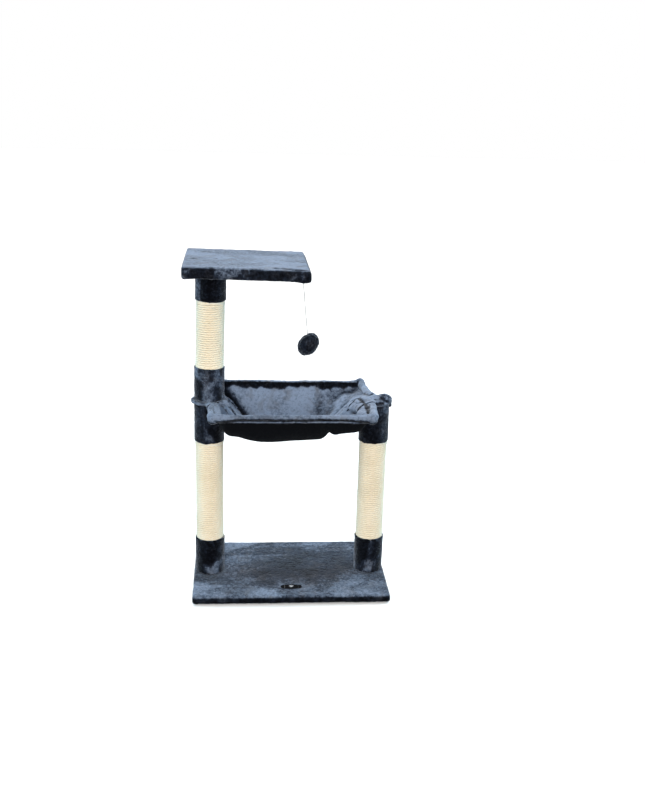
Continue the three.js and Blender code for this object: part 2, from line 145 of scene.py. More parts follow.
def softNoise(p, size, seed):
    # smooth noise from -1 to 1 with bumps about size apart
    q = np.asarray(p, float) / size
    base = np.floor(q).astype(np.int64)
    f = q - base
    f = f * f * (3 - 2 * f)
    total = 0
    for dx in (0, 1):
        for dy in (0, 1):
            for dz in (0, 1):
                w = (f[:, 0] if dx else 1 - f[:, 0]) * (f[:, 1] if dy else 1 - f[:, 1])
                w = w * (f[:, 2] if dz else 1 - f[:, 2])
                total = total + w * lattice(base[:, 0] + dx, base[:, 1] + dy, base[:, 2] + dz, seed)
    return total


def roughNoise(p, size, seed, octaves):
    total, weight, full = 0, 1.0, 0.0
    for i in range(octaves):
        total = total + weight * softNoise(p, size / 2 ** i, seed + 17 * i)
        full += weight
        weight *= 0.5
    return total / full


def smoothStep(x, a, b):
    t = np.clip((x - a) / (b - a), 0, 1)
    return t * t * (3 - 2 * t)


def gridFaces(rows, cols, wrapRows=False, wrapCols=False):
    r = np.arange(rows if wrapRows else rows - 1)
    c = np.arange(cols if wrapCols else cols - 1)
    r, c = [a.ravel() for a in np.meshgrid(r, c, indexing="ij")]
    r2, c2 = (r + 1) % rows, (c + 1) % cols
    return np.stack([r * cols + c, r * cols + c2, r2 * cols + c2, r2 * cols + c], axis=1)


def makePiece(name, points, faces):
    mesh = bpy.data.meshes.new(name)
    mesh.from_pydata(np.asarray(points, float).tolist(), [], [list(map(int, f)) for f in faces])
    mesh.validate()
    mesh.update()
    mesh.polygons.foreach_set("use_smooth", [True] * len(mesh.polygons))
    piece = bpy.data.objects.new(name, mesh)
    scene.collection.objects.link(piece)
    return piece


def pointsFrom(mesh):
    p = np.zeros(len(mesh.vertices) * 3, np.float32)
    mesh.vertices.foreach_get("co", p)
    return p.reshape(-1, 3).astype(float)


def pointsOf(piece):
    return pointsFrom(piece.data)


def normalsOf(piece):
    n = np.zeros(len(piece.data.vertices) * 3, np.float32)
    piece.data.vertex_normals.foreach_get("vector", n)
    return n.reshape(-1, 3).astype(float)


def setPoints(piece, p):
    piece.data.vertices.foreach_set("co", np.asarray(p, np.float32).ravel())
    piece.data.update()


def faceOut(piece):
    # all faces of one closed mesh turned outwards
    bm = bmesh.new()
    bm.from_mesh(piece.data)
    bmesh.ops.recalc_face_normals(bm, faces=bm.faces)
    bm.to_mesh(piece.data)
    bm.free()
    piece.data.update()


def applied(piece):
    # the piece with its modifiers made part of its mesh
    graph = bpy.context.evaluated_depsgraph_get()
    mesh = bpy.data.meshes.new_from_object(piece.evaluated_get(graph))
    piece.modifiers.clear()
    old = piece.data
    piece.data = mesh
    bpy.data.meshes.remove(old)
    mesh.polygons.foreach_set("use_smooth", [True] * len(mesh.polygons))
    return piece


def remeshed(piece, voxel, smoothing):
    remesh = piece.modifiers.new("remesh", "REMESH")
    remesh.mode = "VOXEL"
    remesh.voxel_size = voxel
    soften = piece.modifiers.new("soften", "SMOOTH")
    soften.factor = 0.5
    soften.iterations = smoothing
    return applied(piece)


def setNapAndShading(piece, values):
    # how light the pile looks at each point, from 0 to 1: the pile's nap together with painted light and
    # shade
    napAndShading = piece.data.attributes.get("napAndShading") or piece.data.attributes.new("napAndShading", "FLOAT", "POINT")
    napAndShading.data.foreach_set("value", np.clip(values, 0, 1).astype(np.float32))


def strayNoise(p, size, seed, stray, octaves):
    # rough noise whose patches have wandering edges
    wander = np.stack([softNoise(p, size, seed + k) for k in (1, 2, 3)], axis=1) * size * stray
    return roughNoise(p + wander, size, seed, octaves)


def napBlotches(p, size, seed, high):
    # mostly dark, with lighter blotches where the pile leans the other way
    return high * smoothStep(strayNoise(p, size, seed, 0.8, 4), -0.30, 0.55)


def napPatches(p, size, seed, low, high):
    return low + (high - low) * smoothStep(strayNoise(p, size, seed, 0.7, 3), -0.35, 0.35)


def ruffle(piece, clump, size, fine, seed, lump=0.0, lumpSize=40 * mm):
    # tufts of pile pushed in and out of a finished surface
    p, n = pointsOf(piece), normalsOf(piece)
    push = clump * roughNoise(p, size, seed, 2) + fine * softNoise(p, size / 2.6, seed + 5)
    if lump:
        push = push + lump * roughNoise(p, lumpSize, seed + 9, 2)
    setPoints(piece, p + n * push[:, None])


def sweep(path, radius, sides):
    # tube round a list of points; radius is a number or one for each point
    path = np.asarray(path, float)
    count = len(path)
    radius = np.broadcast_to(radius, (count,))
    tangent = np.gradient(path, axis=0)
    tangent /= np.linalg.norm(tangent, axis=1)[:, None]
    side = np.cross(tangent[0], (0, 0, 1.0))
    if np.linalg.norm(side) < 0.1:
        side = np.cross(tangent[0], (1.0, 0, 0))
    sidesList = []
    for t in tangent:
        side = side - t * side.dot(t)
        side /= np.linalg.norm(side)
        sidesList.append(side.copy())
    across = np.array(sidesList)
    up = np.cross(tangent, across)
    angle = np.arange(sides) / sides * 2 * math.pi
    r = radius[:, None]
    rings = (path[:, None] + across[:, None] * (r * np.cos(angle))[..., None]
             + up[:, None] * (r * np.sin(angle))[..., None])
    faces = gridFaces(count, sides, wrapCols=True).tolist()
    faces.append(list(range(sides))[::-1])
    faces.append([(count - 1) * sides + k for k in range(sides)])
    return rings.reshape(-1, 3), faces


def evenly(points, step):
    p = np.array([tuple(q) for q in points])
    along = np.concatenate([[0], np.cumsum(np.linalg.norm(np.diff(p, axis=0), axis=1))])
    at = np.linspace(0, along[-1], int(along[-1] / step) + 1)
    return np.stack([np.interp(at, along, p[:, k]) for k in range(3)], axis=1)


def joined(name, parts):
    # one mesh from several (points, faces) pairs
    points, faces, start = [], [], 0
    for p, f in parts:
        points.append(np.asarray(p))
        faces += [[int(i) + start for i in face] for face in f]
        start += len(p)
    return makePiece(name, np.vstack(points), faces)


def ball(middle, radii, turn=None, steps=16):
    # egg as (points, faces)
    rows = np.linspace(0, math.pi, steps + 1)[1:-1]
    cols = np.arange(2 * steps) / (2 * steps) * 2 * math.pi
    a, b = np.meshgrid(rows, cols, indexing="ij")
    p = np.stack([np.sin(a) * np.cos(b), np.sin(a) * np.sin(b), np.cos(a)], axis=-1).reshape(-1, 3)
    p = np.vstack([p, [[0, 0, 1], [0, 0, -1]]]) * np.array(radii)
    if turn is not None:
        p = p @ np.array(turn.to_3x3()).T
    count, last = 2 * steps, len(p)
    faces = gridFaces(steps - 1, count, wrapCols=True).tolist()
    for k in range(count):
        faces.append([last - 2, (k + 1) % count, k])
        end = (steps - 2) * count
        faces.append([last - 1, end + k, end + (k + 1) % count])
    return p + np.array(middle), faces


def roundedBox(low, high, radius, step):
    # six grids pulled onto a box with round edges, as (points, faces)
    low, high = np.array(low, float), np.array(high, float)
    parts = []
    for axis in range(3):
        u, v = [k for k in range(3) if k != axis]
        for end in (0, 1):
            count = [max(4, int(round((high[k] - low[k]) / step))) for k in (u, v)]
            a, b = np.meshgrid(*[np.linspace(0, 1, k + 1) for k in count], indexing="ij")
            p = np.zeros(a.shape + (3,))
            p[..., u] = low[u] + a * (high[u] - low[u])
            p[..., v] = low[v] + b * (high[v] - low[v])
            p[..., axis] = (low, high)[end][axis]
            parts.append((p.reshape(-1, 3), gridFaces(count[0] + 1, count[1] + 1).tolist()))
    out = []
    for p, f in parts:
        inner = np.clip(p, low + radius, high - radius)
        d = p - inner
        length = np.linalg.norm(d, axis=1)
        out.append((inner + d / np.maximum(length, 1e-9)[:, None] * radius, f))
    return out


def mergedPiece(name, parts, distance=0.05 * mm):
    piece = joined(name, parts)
    bm = bmesh.new()
    bm.from_mesh(piece.data)
    bmesh.ops.remove_doubles(bm, verts=bm.verts, dist=distance)
    bmesh.ops.recalc_face_normals(bm, faces=bm.faces)
    bm.to_mesh(piece.data)
    bm.free()
    piece.data.update()
    return piece


def placed(p, matrix):
    m = np.array(matrix, float)
    return p @ m[:3, :3].T + m[:3, 3]


def moved(parts, matrix):
    return [(placed(p, matrix), f) for p, f in parts]


def settle(piece, body, slotName, *nodes):
    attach(piece, body)
    if nodes:
        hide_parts(*nodes)
    paint(piece, slotName)
    return piece


# string, two plies twisted together

def makeString():
    step = 0.5 * mm
    line = evenly(route, step)
    plies = []
    for turn in (0, math.pi):
        angle = turn + np.arange(len(line)) * step / stringLook["lay"] * 2 * math.pi
        # drawn tight where it leaves the loop
        tight = smoothStep(np.arange(len(line)) * step, 0, 3 * mm)
        apart = (stringLook["radius"] - stringLook["ply"]) * tight
        off = apart[:, None] * np.stack([np.cos(angle), np.sin(angle), 0 * angle], axis=1)
        plies.append(sweep(line + off, stringLook["ply"] * (0.62 + 0.38 * tight), 6))
    string = joined("toyString", plies)
    faceOut(string)
    settle(string, "toy_line", "string", "toy_string")
    return string


# materials

def newMaterial(name):
    material = bpy.data.materials.new(name)
    material.use_nodes = True
    tree = material.node_tree
    tree.nodes.clear()
    out = tree.nodes.new("ShaderNodeOutputMaterial")
    shader = tree.nodes.new("ShaderNodeBsdfPrincipled")
    tree.links.new(shader.outputs[0], out.inputs[0])
    return material, tree, shader


def setInputs(tree, node, inputs):
    for key, value in inputs.items():
        if isinstance(value, bpy.types.NodeSocket):
            tree.links.new(value, node.inputs[key])
        else:
            node.inputs[key].default_value = value


def addNode(tree, kind, inputs=None, **settings):
    node = tree.nodes.new(kind)
    for key, value in settings.items():
        setattr(node, key, value)
    setInputs(tree, node, inputs or {})
    return node


def objectPlace(tree):
    return addNode(tree, "ShaderNodeTexCoord").outputs["Object"]


def colourRamp(tree, source, stops):
    ramp = addNode(tree, "ShaderNodeValToRGB", {0: source})
    while len(ramp.color_ramp.elements) < len(stops):
        ramp.color_ramp.elements.new(0.5)
    for element, (place, colour) in zip(ramp.color_ramp.elements, stops):
        element.position = place
        element.color = (*colour, 1)
    return ramp.outputs[0]


def maths(tree, operation, a, b=0.0, clamp=False):
    return addNode(tree, "ShaderNodeMath", {0: a, 1: b}, operation=operation, use_clamp=clamp).outputs[0]


def centred(tree, value, amount):
    # a 0 to 1 value as plus and minus half of amount
    node = addNode(tree, "ShaderNodeMath", {0: value, 1: amount, 2: -amount / 2}, operation="MULTIPLY_ADD")
    return node.outputs[0]


def noiseOf(tree, where, scale, detail, stretch=None, distortion=0.0):
    if stretch:
        where = addNode(tree, "ShaderNodeMapping", {"Vector": where, "Scale": stretch}).outputs[0]
    inputs = {"Vector": where, "Scale": scale, "Detail": detail, "Distortion": distortion}
    return addNode(tree, "ShaderNodeTexNoise", inputs).outputs[0]


def bumpOf(tree, height, distance, strength):
    inputs = {"Height": height, "Distance": distance, "Strength": strength}
    return addNode(tree, "ShaderNodeBump", inputs).outputs[0]


plushLook = {
    "dark": (0.0018, 0.0021, 0.0034), "middle": (0.014, 0.019, 0.031), "light": (0.165, 0.210, 0.290),
    "warm": (0.075, 0.068, 0.064), "sheen": 0.42, "sheenRoughness": 0.34, "sheenTint": (0.60, 0.67, 0.78),
    "clumpScale": 150, "fibreScale": 900, "pile": 1.6 * mm,
}


def plushMaterial():
    look = plushLook
    material, tree, shader = newMaterial("plush")
    where = objectPlace(tree)
    # this attribute holds the pile's nap together with painted light and shade
    napAndShading = addNode(tree, "ShaderNodeAttribute", attribute_name="napAndShading").outputs["Fac"]
    clump = noiseOf(tree, where, look["clumpScale"], 3, distortion=0.6)
    fibre = noiseOf(tree, where, look["fibreScale"], 2)
    tone = maths(tree, "ADD", napAndShading, centred(tree, clump, 0.9))
    total = maths(tree, "ADD", tone, centred(tree, fibre, 0.8), clamp=True)
    colour = colourRamp(tree, total, [(0.0, look["dark"]), (0.45, look["middle"]), (1.0, look["light"])])
    # worn, slightly browner patches where the pile is parted
    warmth = noiseOf(tree, where, 24, 3, distortion=1.4)
    share = maths(tree, "MULTIPLY", maths(tree, "SUBTRACT", warmth, 0.50, clamp=True), 3.0, clamp=True)
    share = maths(tree, "MULTIPLY", share, maths(tree, "MULTIPLY", total, 0.8), clamp=True)
    mixed = addNode(tree, "ShaderNodeMix", {0: share, 6: colour, 7: (*look["warm"], 1)}, data_type="RGBA")
    height = maths(tree, "ADD", clump, maths(tree, "MULTIPLY", fibre, 0.6))
    setInputs(tree, shader, {
        "Base Color": mixed.outputs[2], "Normal": bumpOf(tree, height, look["pile"], 0.9),
        "Roughness": 0.9, "Specular IOR Level": 0.02, "Sheen Weight": look["sheen"],
        "Sheen Roughness": look["sheenRoughness"], "Sheen Tint": (*look["sheenTint"], 1),
    })
    return material


sisalLook = {
    "shadow": (0.50, 0.40, 0.25), "body": (0.80, 0.69, 0.50), "pale": (0.92, 0.85, 0.70),
    "strands": 3, "twistLength": 13 * mm, "depth": 0.5 * mm,
    "sheen": 0.5, "sheenTint": (0.55, 0.85, 1.0),
}


def sisalMaterial():
    material, tree, shader = newMaterial("sisal")
    way = addNode(tree, "ShaderNodeUVMap", uv_map="ropeWay").outputs[0]
    part = addNode(tree, "ShaderNodeSeparateXYZ", {0: way})
    along, around = part.outputs[0], part.outputs[1]
    turns = maths(tree, "ADD", maths(tree, "MULTIPLY", along, 1 / sisalLook["twistLength"]),
                  maths(tree, "MULTIPLY", around, sisalLook["strands"]))
    where = objectPlace(tree)
    turns = maths(tree, "ADD", turns, centred(tree, noiseOf(tree, where, 60, 2), 3.0))
    strand = maths(tree, "SINE", maths(tree, "MULTIPLY", turns, 2 * math.pi))
    strand = maths(tree, "ADD", maths(tree, "MULTIPLY", strand, 0.5), 0.5)
    fibre = noiseOf(tree, where, 700, 4, stretch=(0.35, 0.35, 3.0))
    patch = noiseOf(tree, where, 18, 3)
    tone = maths(tree, "ADD", maths(tree, "MULTIPLY", strand, 0.30), maths(tree, "MULTIPLY", fibre, 0.55))
    tone = maths(tree, "ADD", tone, maths(tree, "MULTIPLY", patch, 0.35), clamp=True)
    stops = [(0.15, sisalLook["shadow"]), (0.5, sisalLook["body"]), (0.85, sisalLook["pale"])]
    colour = colourRamp(tree, tone, stops)
    height = maths(tree, "ADD", strand, maths(tree, "MULTIPLY", fibre, 0.8))
    setInputs(tree, shader, {
        "Base Color": colour, "Normal": bumpOf(tree, height, sisalLook["depth"], 0.8),
        "Roughness": 0.85, "Specular IOR Level": 0.25, "Sheen Weight": sisalLook["sheen"],
        "Sheen Roughness": 0.35, "Sheen Tint": (*sisalLook["sheenTint"], 1),
    })
    return material


def clothMaterial(name, dark, light, scale, sheen=0.2):
    # plain woven or felted cloth
    material, tree, shader = newMaterial(name)
    where = objectPlace(tree)
    warp = addNode(tree, "ShaderNodeTexWave", {"Vector": where, "Scale": scale, "Distortion": 1.0},
                   bands_direction="X").outputs[1]
    weft = addNode(tree, "ShaderNodeTexWave", {"Vector": where, "Scale": scale, "Distortion": 1.0},
                   bands_direction="Y").outputs[1]
    fuzz = noiseOf(tree, where, scale * 1.6, 3)
    weave = maths(tree, "MULTIPLY", maths(tree, "ADD", warp, weft), 0.5)
    tone = maths(tree, "MULTIPLY", maths(tree, "ADD", weave, fuzz), 0.5)
    setInputs(tree, shader, {
        "Base Color": colourRamp(tree, tone, [(0.2, dark), (0.8, light)]),
        "Normal": bumpOf(tree, tone, 0.4 * mm, 0.7), "Roughness": 0.85,
        "Specular IOR Level": 0.02 if sheen == 0 else 0.15, "Sheen Weight": sheen,
    })
    return material


def steelMaterial(name, colour, metallic, roughness):
    material, tree, shader = newMaterial(name)
    where = objectPlace(tree)
    scratch = noiseOf(tree, where, 260, 4, stretch=(1, 1, 8))
    cloud = noiseOf(tree, where, 60, 2)
    darker = tuple(0.75 * c for c in colour)
    setInputs(tree, shader, {
        "Base Color": colourRamp(tree, cloud, [(0.3, darker), (0.7, colour)]),
        "Roughness": maths(tree, "ADD", maths(tree, "MULTIPLY", scratch, 0.25), roughness - 0.12),
        "Normal": bumpOf(tree, scratch, 0.05 * mm, 0.4), "Metallic": metallic,
    })
    return material


def woodMaterial(name, dark, light, chips):
    material, tree, shader = newMaterial(name)
    where = objectPlace(tree)
    chip = addNode(tree, "ShaderNodeTexVoronoi", {"Vector": where, "Scale": chips}).outputs["Color"]
    chipTone = addNode(tree, "ShaderNodeSeparateXYZ", {0: chip}).outputs[0]
    grain = noiseOf(tree, where, chips * 0.8, 4, stretch=(1, 1, 5))
    tone = maths(tree, "MULTIPLY", maths(tree, "ADD", chipTone, grain), 0.5)
    setInputs(tree, shader, {
        "Base Color": colourRamp(tree, tone, [(0.2, dark), (0.8, light)]),
        "Normal": bumpOf(tree, tone, 0.3 * mm, 0.5), "Roughness": 0.75,
    })
    return material


def stringMaterial():
    material, tree, shader = newMaterial("string")
    where = objectPlace(tree)
    ply = addNode(tree, "ShaderNodeTexWave", {"Vector": where, "Scale": 260.0, "Distortion": 0.6},
                  bands_direction="DIAGONAL").outputs[1]
    setInputs(tree, shader, {
        "Base Color": colourRamp(tree, ply, [(0.1, (0.012, 0.012, 0.012)), (0.6, (0.045, 0.045, 0.043))]),
        "Normal": bumpOf(tree, ply, 0.2 * mm, 0.8), "Roughness": 0.7,
    })
    return material


materials = {
    "plush": plushMaterial(),
    "sisal": sisalMaterial(),
    "liner": clothMaterial("liner", (0.010, 0.011, 0.014), (0.035, 0.038, 0.046), 420),
    # near-black cloth for the hammock's downward faces: painted shade
    "paintedShadeCloth": clothMaterial("paintedShadeCloth", (0.0016, 0.0018, 0.0024), (0.006, 0.007, 0.009), 700, 0.0),
    "label": clothMaterial("label", (0.0025, 0.0025, 0.003), (0.008, 0.008, 0.01), 900, 0.0),
    "stuffing": clothMaterial("stuffing", (0.55, 0.54, 0.50), (0.85, 0.84, 0.80), 200),
    "board": woodMaterial("board", (0.30, 0.19, 0.10), (0.62, 0.45, 0.27), 260),
    "cardboard": woodMaterial("cardboard", (0.28, 0.19, 0.11), (0.42, 0.30, 0.18), 120),
    "plug": woodMaterial("plug", (0.42, 0.28, 0.15), (0.66, 0.49, 0.30), 90),
    "zinc": steelMaterial("zinc", (0.62, 0.64, 0.66), 1.0, 0.34),
    "rod": steelMaterial("rod", (0.03, 0.03, 0.035), 0.6, 0.42),
    "string": stringMaterial(),
    "fibre": clothMaterial("fibre", (0.72, 0.66, 0.52), (0.97, 0.95, 0.88), 500, 0.0),
    "thread": clothMaterial("thread", (0.30, 0.31, 0.33), (0.62, 0.63, 0.66), 900),
}


def paint(piece, slotName):
    piece.data.materials.clear()
    piece.data.materials.append(materials[slotName])


def paintFrame():
    slots = {s["node"]: s["material_slot"] for s in frame["record"]["subparts"]}
    for name, node in frame["nodes"].items():
        paint(node, slots[name])


paintFrame()
toyString = makeString()
print("materials and string made")


# posts: rope and sleeves, each in the frame of its own tube

postLook = {
    "ropePitch": 5.3 * mm, "ropeSides": 8, "ropeStep": 2.8 * mm, "ropeLoose": 0.22 * mm,
    "sleeveStep": 2.6 * mm, "edgeRound": 2.4 * mm, "edgeWave": 1.9 * mm, "seamWidth": 3 * mm,
    "seamDepth": 1.6 * mm, "edgeReach": 7 * mm, "edgeFlare": 0.7 * mm, "foldOver": 1.4 * mm,
    "curls": 34, "curlRadius": 0.42 * mm, "footNap": 0.74, "headNap": 0.54,
}


def sectionFrame(name):
    # matrix whose origin is the bottom middle of a section's tube and whose Z runs up it
    low, high = axisOf(f"{name}_tube")
    up = (high - low).normalized()
    across = Vector((0, 1, 0)).cross(up).normalized()
    turn = Matrix((across, up.cross(across), up)).transposed().to_4x4()
    return Matrix.Translation(low) @ turn


def localBox(node, matrix):
    p = placed(corners(node), matrix.inverted())
    return p.min(0), p.max(0)


def helixLine(radius, low, high, pitch, step, seed):
    turns = (high - low) / pitch
    count = int(turns * 2 * math.pi * radius / step)
    t = np.linspace(0, turns, count)
    angle = 2 * math.pi * t + seed
    # the first and last turns lie flat against the sleeves
    flat = 0.8
    rise = np.clip((t - flat) / (turns - 2 * flat), 0, 1)
    z = low + rise * (high - low)
    around = np.stack([np.cos(angle) * radius, np.sin(angle) * radius, z], axis=1)
    loose = postLook["ropeLoose"]
    z = z + loose * softNoise(around, 21 * mm, seed)
    out = radius + loose * softNoise(around, 15 * mm, seed + 3)
    return np.stack([np.cos(angle) * out, np.sin(angle) * out, z], axis=1)


def ropeWay(piece, sides, step):
    # texture places: metres along the rope and turns round it
    layer = piece.data.uv_layers.new(name="ropeWay")
    loops = np.zeros(len(piece.data.loops), np.int64)
    piece.data.loops.foreach_get("vertex_index", loops)
    row, col = loops // sides, loops % sides
    uv = np.stack([row * step, col / sides], axis=1)
    total = np.array([len(f.vertices) for f in piece.data.polygons])
    starts = np.concatenate([[0], np.cumsum(total)[:-1]])
    # faces that close the ring end at one whole turn
    four = starts[total == 4][:, None] + np.arange(4)
    c = col[four]
    uv[four, 1] = np.where((c == 0) & (c.max(1) == sides - 1)[:, None], 1.0, c / sides)
    layer.data.foreach_set("uv", np.clip(uv, 0, None).astype(np.float32).ravel())


def curlParts(radius, top, seed, count):
    # loose ends of fibre that lie on the rope below a sleeve
    rng = np.random.default_rng(seed)
    parts = []
    for _ in range(count):
        angle = rng.uniform(0, 2 * math.pi)
        drop = rng.uniform(0.5, 13) * mm
        bend = rng.uniform(-2.2, 2.2)
        length = rng.uniform(9, 24) * mm
        t = np.linspace(0, 1, 9)
        heading = rng.uniform(-0.5, 0.5) + bend * t
        along = np.cumsum(np.cos(heading)) * length / 9
        rise = np.cumsum(np.sin(heading)) * length / 9
        out = radius + (0.4 + 1.6 * np.sin(t * math.pi) * rng.uniform(0.3, 1)) * mm
        a = angle + along / radius
        z = np.minimum(top - drop + rise * 0.55, top - 0.5 * mm)
        line = np.stack([np.cos(a) * out, np.sin(a) * out, z], axis=1)
        parts.append(sweep(line, postLook["curlRadius"], 4))
    return parts


def makeSisal(name, seed):
    matrix = sectionFrame(name)
    low, high = localBox(f"{name}_sisal", matrix)
    tubeHigh = localBox(f"{name}_tube", matrix)[1]
    ropeRadius = (high[0] - tubeHigh[0]) / 2 + 0.05 * mm
    middle = tubeHigh[0] + ropeRadius
    bottom, top = low[2] + ropeRadius, high[2] - ropeRadius
    line = helixLine(middle, bottom, top, postLook["ropePitch"], postLook["ropeStep"], seed)
    sides = postLook["ropeSides"]
    points, faces = sweep(line, ropeRadius, sides)
    rope = makePiece(f"{name}Rope", placed(points, matrix), faces)
    ropeWay(rope, sides, postLook["ropeStep"])
    settle(rope, "tree", "sisal", f"{name}_sisal")
    # the rope's last turn crosses the winding on its way under the sleeve
    t = np.linspace(0, 1, 40)
    angle = math.radians(-150 + 25 * seed) + 1.9 * t
    out = middle + ropeRadius * (0.2 + 0.8 * np.sin(t * math.pi) ** 0.5)
    fall = high[2] - (1 + 9 * t ** 1.5) * mm
    tailLine = np.stack([np.cos(angle) * out, np.sin(angle) * out, fall], axis=1)
    parts = [sweep(tailLine, ropeRadius * 0.62, sides)]
    parts += curlParts(middle + ropeRadius, high[2], 40 + seed, postLook["curls"])
    parts += curlParts(middle + ropeRadius, low[2] + 9 * mm, 80 + seed, postLook["curls"] // 3)
    ends = joined(f"{name}RopeEnds", moved(parts, matrix))
    faceOut(ends)
    settle(ends, "tree", "sisal")
    paint(ends, "fibre")


def sleeveProfile(inner, outer, low, high, r):
    # closed outline of a sleeve's wall as radius and height, from the inner bottom edge round
    step = postLook["sleeveStep"]
    wall = max(6, int((high - low) / step))
    z = np.linspace(low + r, high - r, wall)
    bend = np.linspace(0, math.pi / 2, 4)
    outline = [(inner, low + 0.5 * mm), ((inner + outer) / 2, low)]
    outline += [(outer - r + r * math.sin(b), low + r - r * math.cos(b)) for b in bend]
    outline += [(outer, h) for h in z[1:-1]]
    outline += [(outer - r + r * math.cos(b), high - r + r * math.sin(b)) for b in bend]
    outline += [((inner + outer) / 2, high), (inner, high - 0.5 * mm)]
    return np.array(outline)


def makeSleeve(name, part, seed, free, seam, flap=0.0):
    # free is the end that stands against the rope: -1 bottom, 1 top. seam is its angle from +X
    matrix = sectionFrame(name)
    node = f"{name}_{part}_sleeve"
    low, high = localBox(node, matrix)
    outer = (high[0] - low[0]) / 2
    inner = localBox(f"{name}_tube", matrix)[1][0] + 0.6 * mm
    outline = sleeveProfile(inner, outer, low[2], high[2], postLook["edgeRound"])
    around = int(2 * math.pi * outer / postLook["sleeveStep"])
    angle = np.arange(around) / around * 2 * math.pi
    radius, z = outline[:, 0][None, :], outline[:, 1][None, :]
    a = angle[:, None] + 0 * z
    end = high[2] if free > 0 else low[2]
    near = np.exp(-np.abs(z - end) / postLook["edgeReach"])
    ring = np.stack([np.cos(angle) * outer, np.sin(angle) * outer, 0 * angle + seed * 0.1], axis=1)
    wave = roughNoise(ring, 13 * mm, seed, 3)[:, None]
    skin = radius > outer - 2 * postLook["edgeRound"]
    z = z + near * postLook["edgeWave"] * 1.6 * wave * (radius > inner + 1 * mm)
    radius = radius + np.where(skin, near * (postLook["edgeFlare"] + 0.5 * mm * wave), 0)
    turn = (a - seam + math.pi) % (2 * math.pi) - math.pi
    groove = np.exp(-(turn * outer / postLook["seamWidth"]) ** 2)
    radius = radius - np.where(skin, postLook["seamDepth"] * groove, 0)
    if flap:
        edge = smoothStep(turn * outer, 0, 1.5 * mm) * (1 - smoothStep(turn, 0.9, 1.2))
        radius = radius + np.where(skin, flap * edge, 0)
    points = np.stack([np.cos(a) * radius, np.sin(a) * radius, z + 0 * a], axis=-1).reshape(-1, 3)
    sleeve = makePiece(f"{name}{part.capitalize()}Sleeve", placed(points, matrix),
                       gridFaces(around, len(outline), wrapRows=True, wrapCols=True))
    faceOut(sleeve)
    ruffle(sleeve, 0.55 * mm, 6 * mm, 0.3 * mm, seed, 0.7 * mm, 30 * mm)
    p = pointsOf(sleeve)
    napAndShading = napBlotches(p * np.array([1, 1, 0.6]), 26 * mm, seed, postLook[part + "Nap"])
    if flap:
        # the overlapping edge shows lighter than the rest
        strip = smoothStep(turn, -1.3, -1.0) * (1 - smoothStep(turn * outer, -1.5 * mm, 0.5 * mm))
        napAndShading = napAndShading * 0.45 + (0.50 * strip + 0 * radius).reshape(-1)
    setNapAndShading(sleeve, napAndShading)
    settle(sleeve, "tree", "plush", node)


for index, sectionName in enumerate(["left_lower", "left_upper", "right"]):
    makeSisal(sectionName, index + 1)
    makeSleeve(sectionName, "foot", 11 + index, 1, math.radians(100 + 30 * index))
    upperHead = sectionName == "left_upper"
    makeSleeve(sectionName, "head", 21 + index, -1, math.radians(-130 if upperHead else 80 + 40 * index),
               -postLook["foldOver"] if upperHead else 0.0)
print("posts made")


# covered boards

baseLook = {"step": 3.2 * mm, "edge": 7 * mm, "clump": 0.6 * mm, "sideBulge": 1.0 * mm,
            "footPress": 1.2 * mm}
perchLook = {
    "step": 3.0 * mm, "edge": 7 * mm, "clump": 0.7 * mm, "sag": 3 * mm,
    "leftSag": 2.2 * mm, "lowerSag": 2.0 * mm, "sideFlare": 4 * mm,
    "backRise": 2.4 * mm, "frontWave": 1.4 * mm,
    "foldPlace": 9 * mm, "foldWander": 5 * mm, "foldLength": 95 * mm,
    "foldDepth": 1.2 * mm, "foldRidge": 2.4 * mm,
    # (x, y) in the tall post's own frame, half widths and depth of the dimple and the slit with its puckers
    "spots": [
        ((-0.041, -0.012), (6.5 * mm, 5.0 * mm), 2.6 * mm),
        ((0.0, 0.0), (13 * mm, 1.6 * mm), 1.6 * mm),
        ((-0.020, -0.004), (10 * mm, 2.0 * mm), 1.0 * mm),
        ((0.012, -0.003), (4 * mm, 2.5 * mm), 1.6 * mm),
    ],
}


def makeBaseCover():
    low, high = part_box("base_cover")
    cover = mergedPiece("baseCover", roundedBox(low, high, baseLook["edge"], baseLook["step"]))
    p = pointsOf(cover)
    n = normalsOf(cover)
    side = 1 - np.abs(n[:, 2])
    p = p + n * (side * baseLook["sideBulge"] * roughNoise(p, 45 * mm, 3, 2))[:, None]
    # pile pressed down round each post's foot
    for name in ("left_lower", "right"):
        foot = (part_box(f"{name}_foot_sleeve")[0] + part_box(f"{name}_foot_sleeve")[1]) / 2
        far = np.hypot(p[:, 0] - foot.x, p[:, 1] - foot.y)
        press = np.exp(-((far - 37 * mm) / (9 * mm)) ** 2) * (p[:, 2] > high.z - 4 * mm)
        p[:, 2] -= baseLook["footPress"] * press
    setPoints(cover, p)
    ruffle(cover, baseLook["clump"], 6 * mm, 0.25 * mm, 31, 0.5 * mm, 60 * mm)
    p = pointsOf(cover)
    p[:, 2] = np.clip(p[:, 2], low.z, high.z + 1.5 * mm)
    setPoints(cover, p)
    setNapAndShading(cover, baseNapAndShading(p, low, high))
    settle(cover, "tree", "plush", "base_cover")


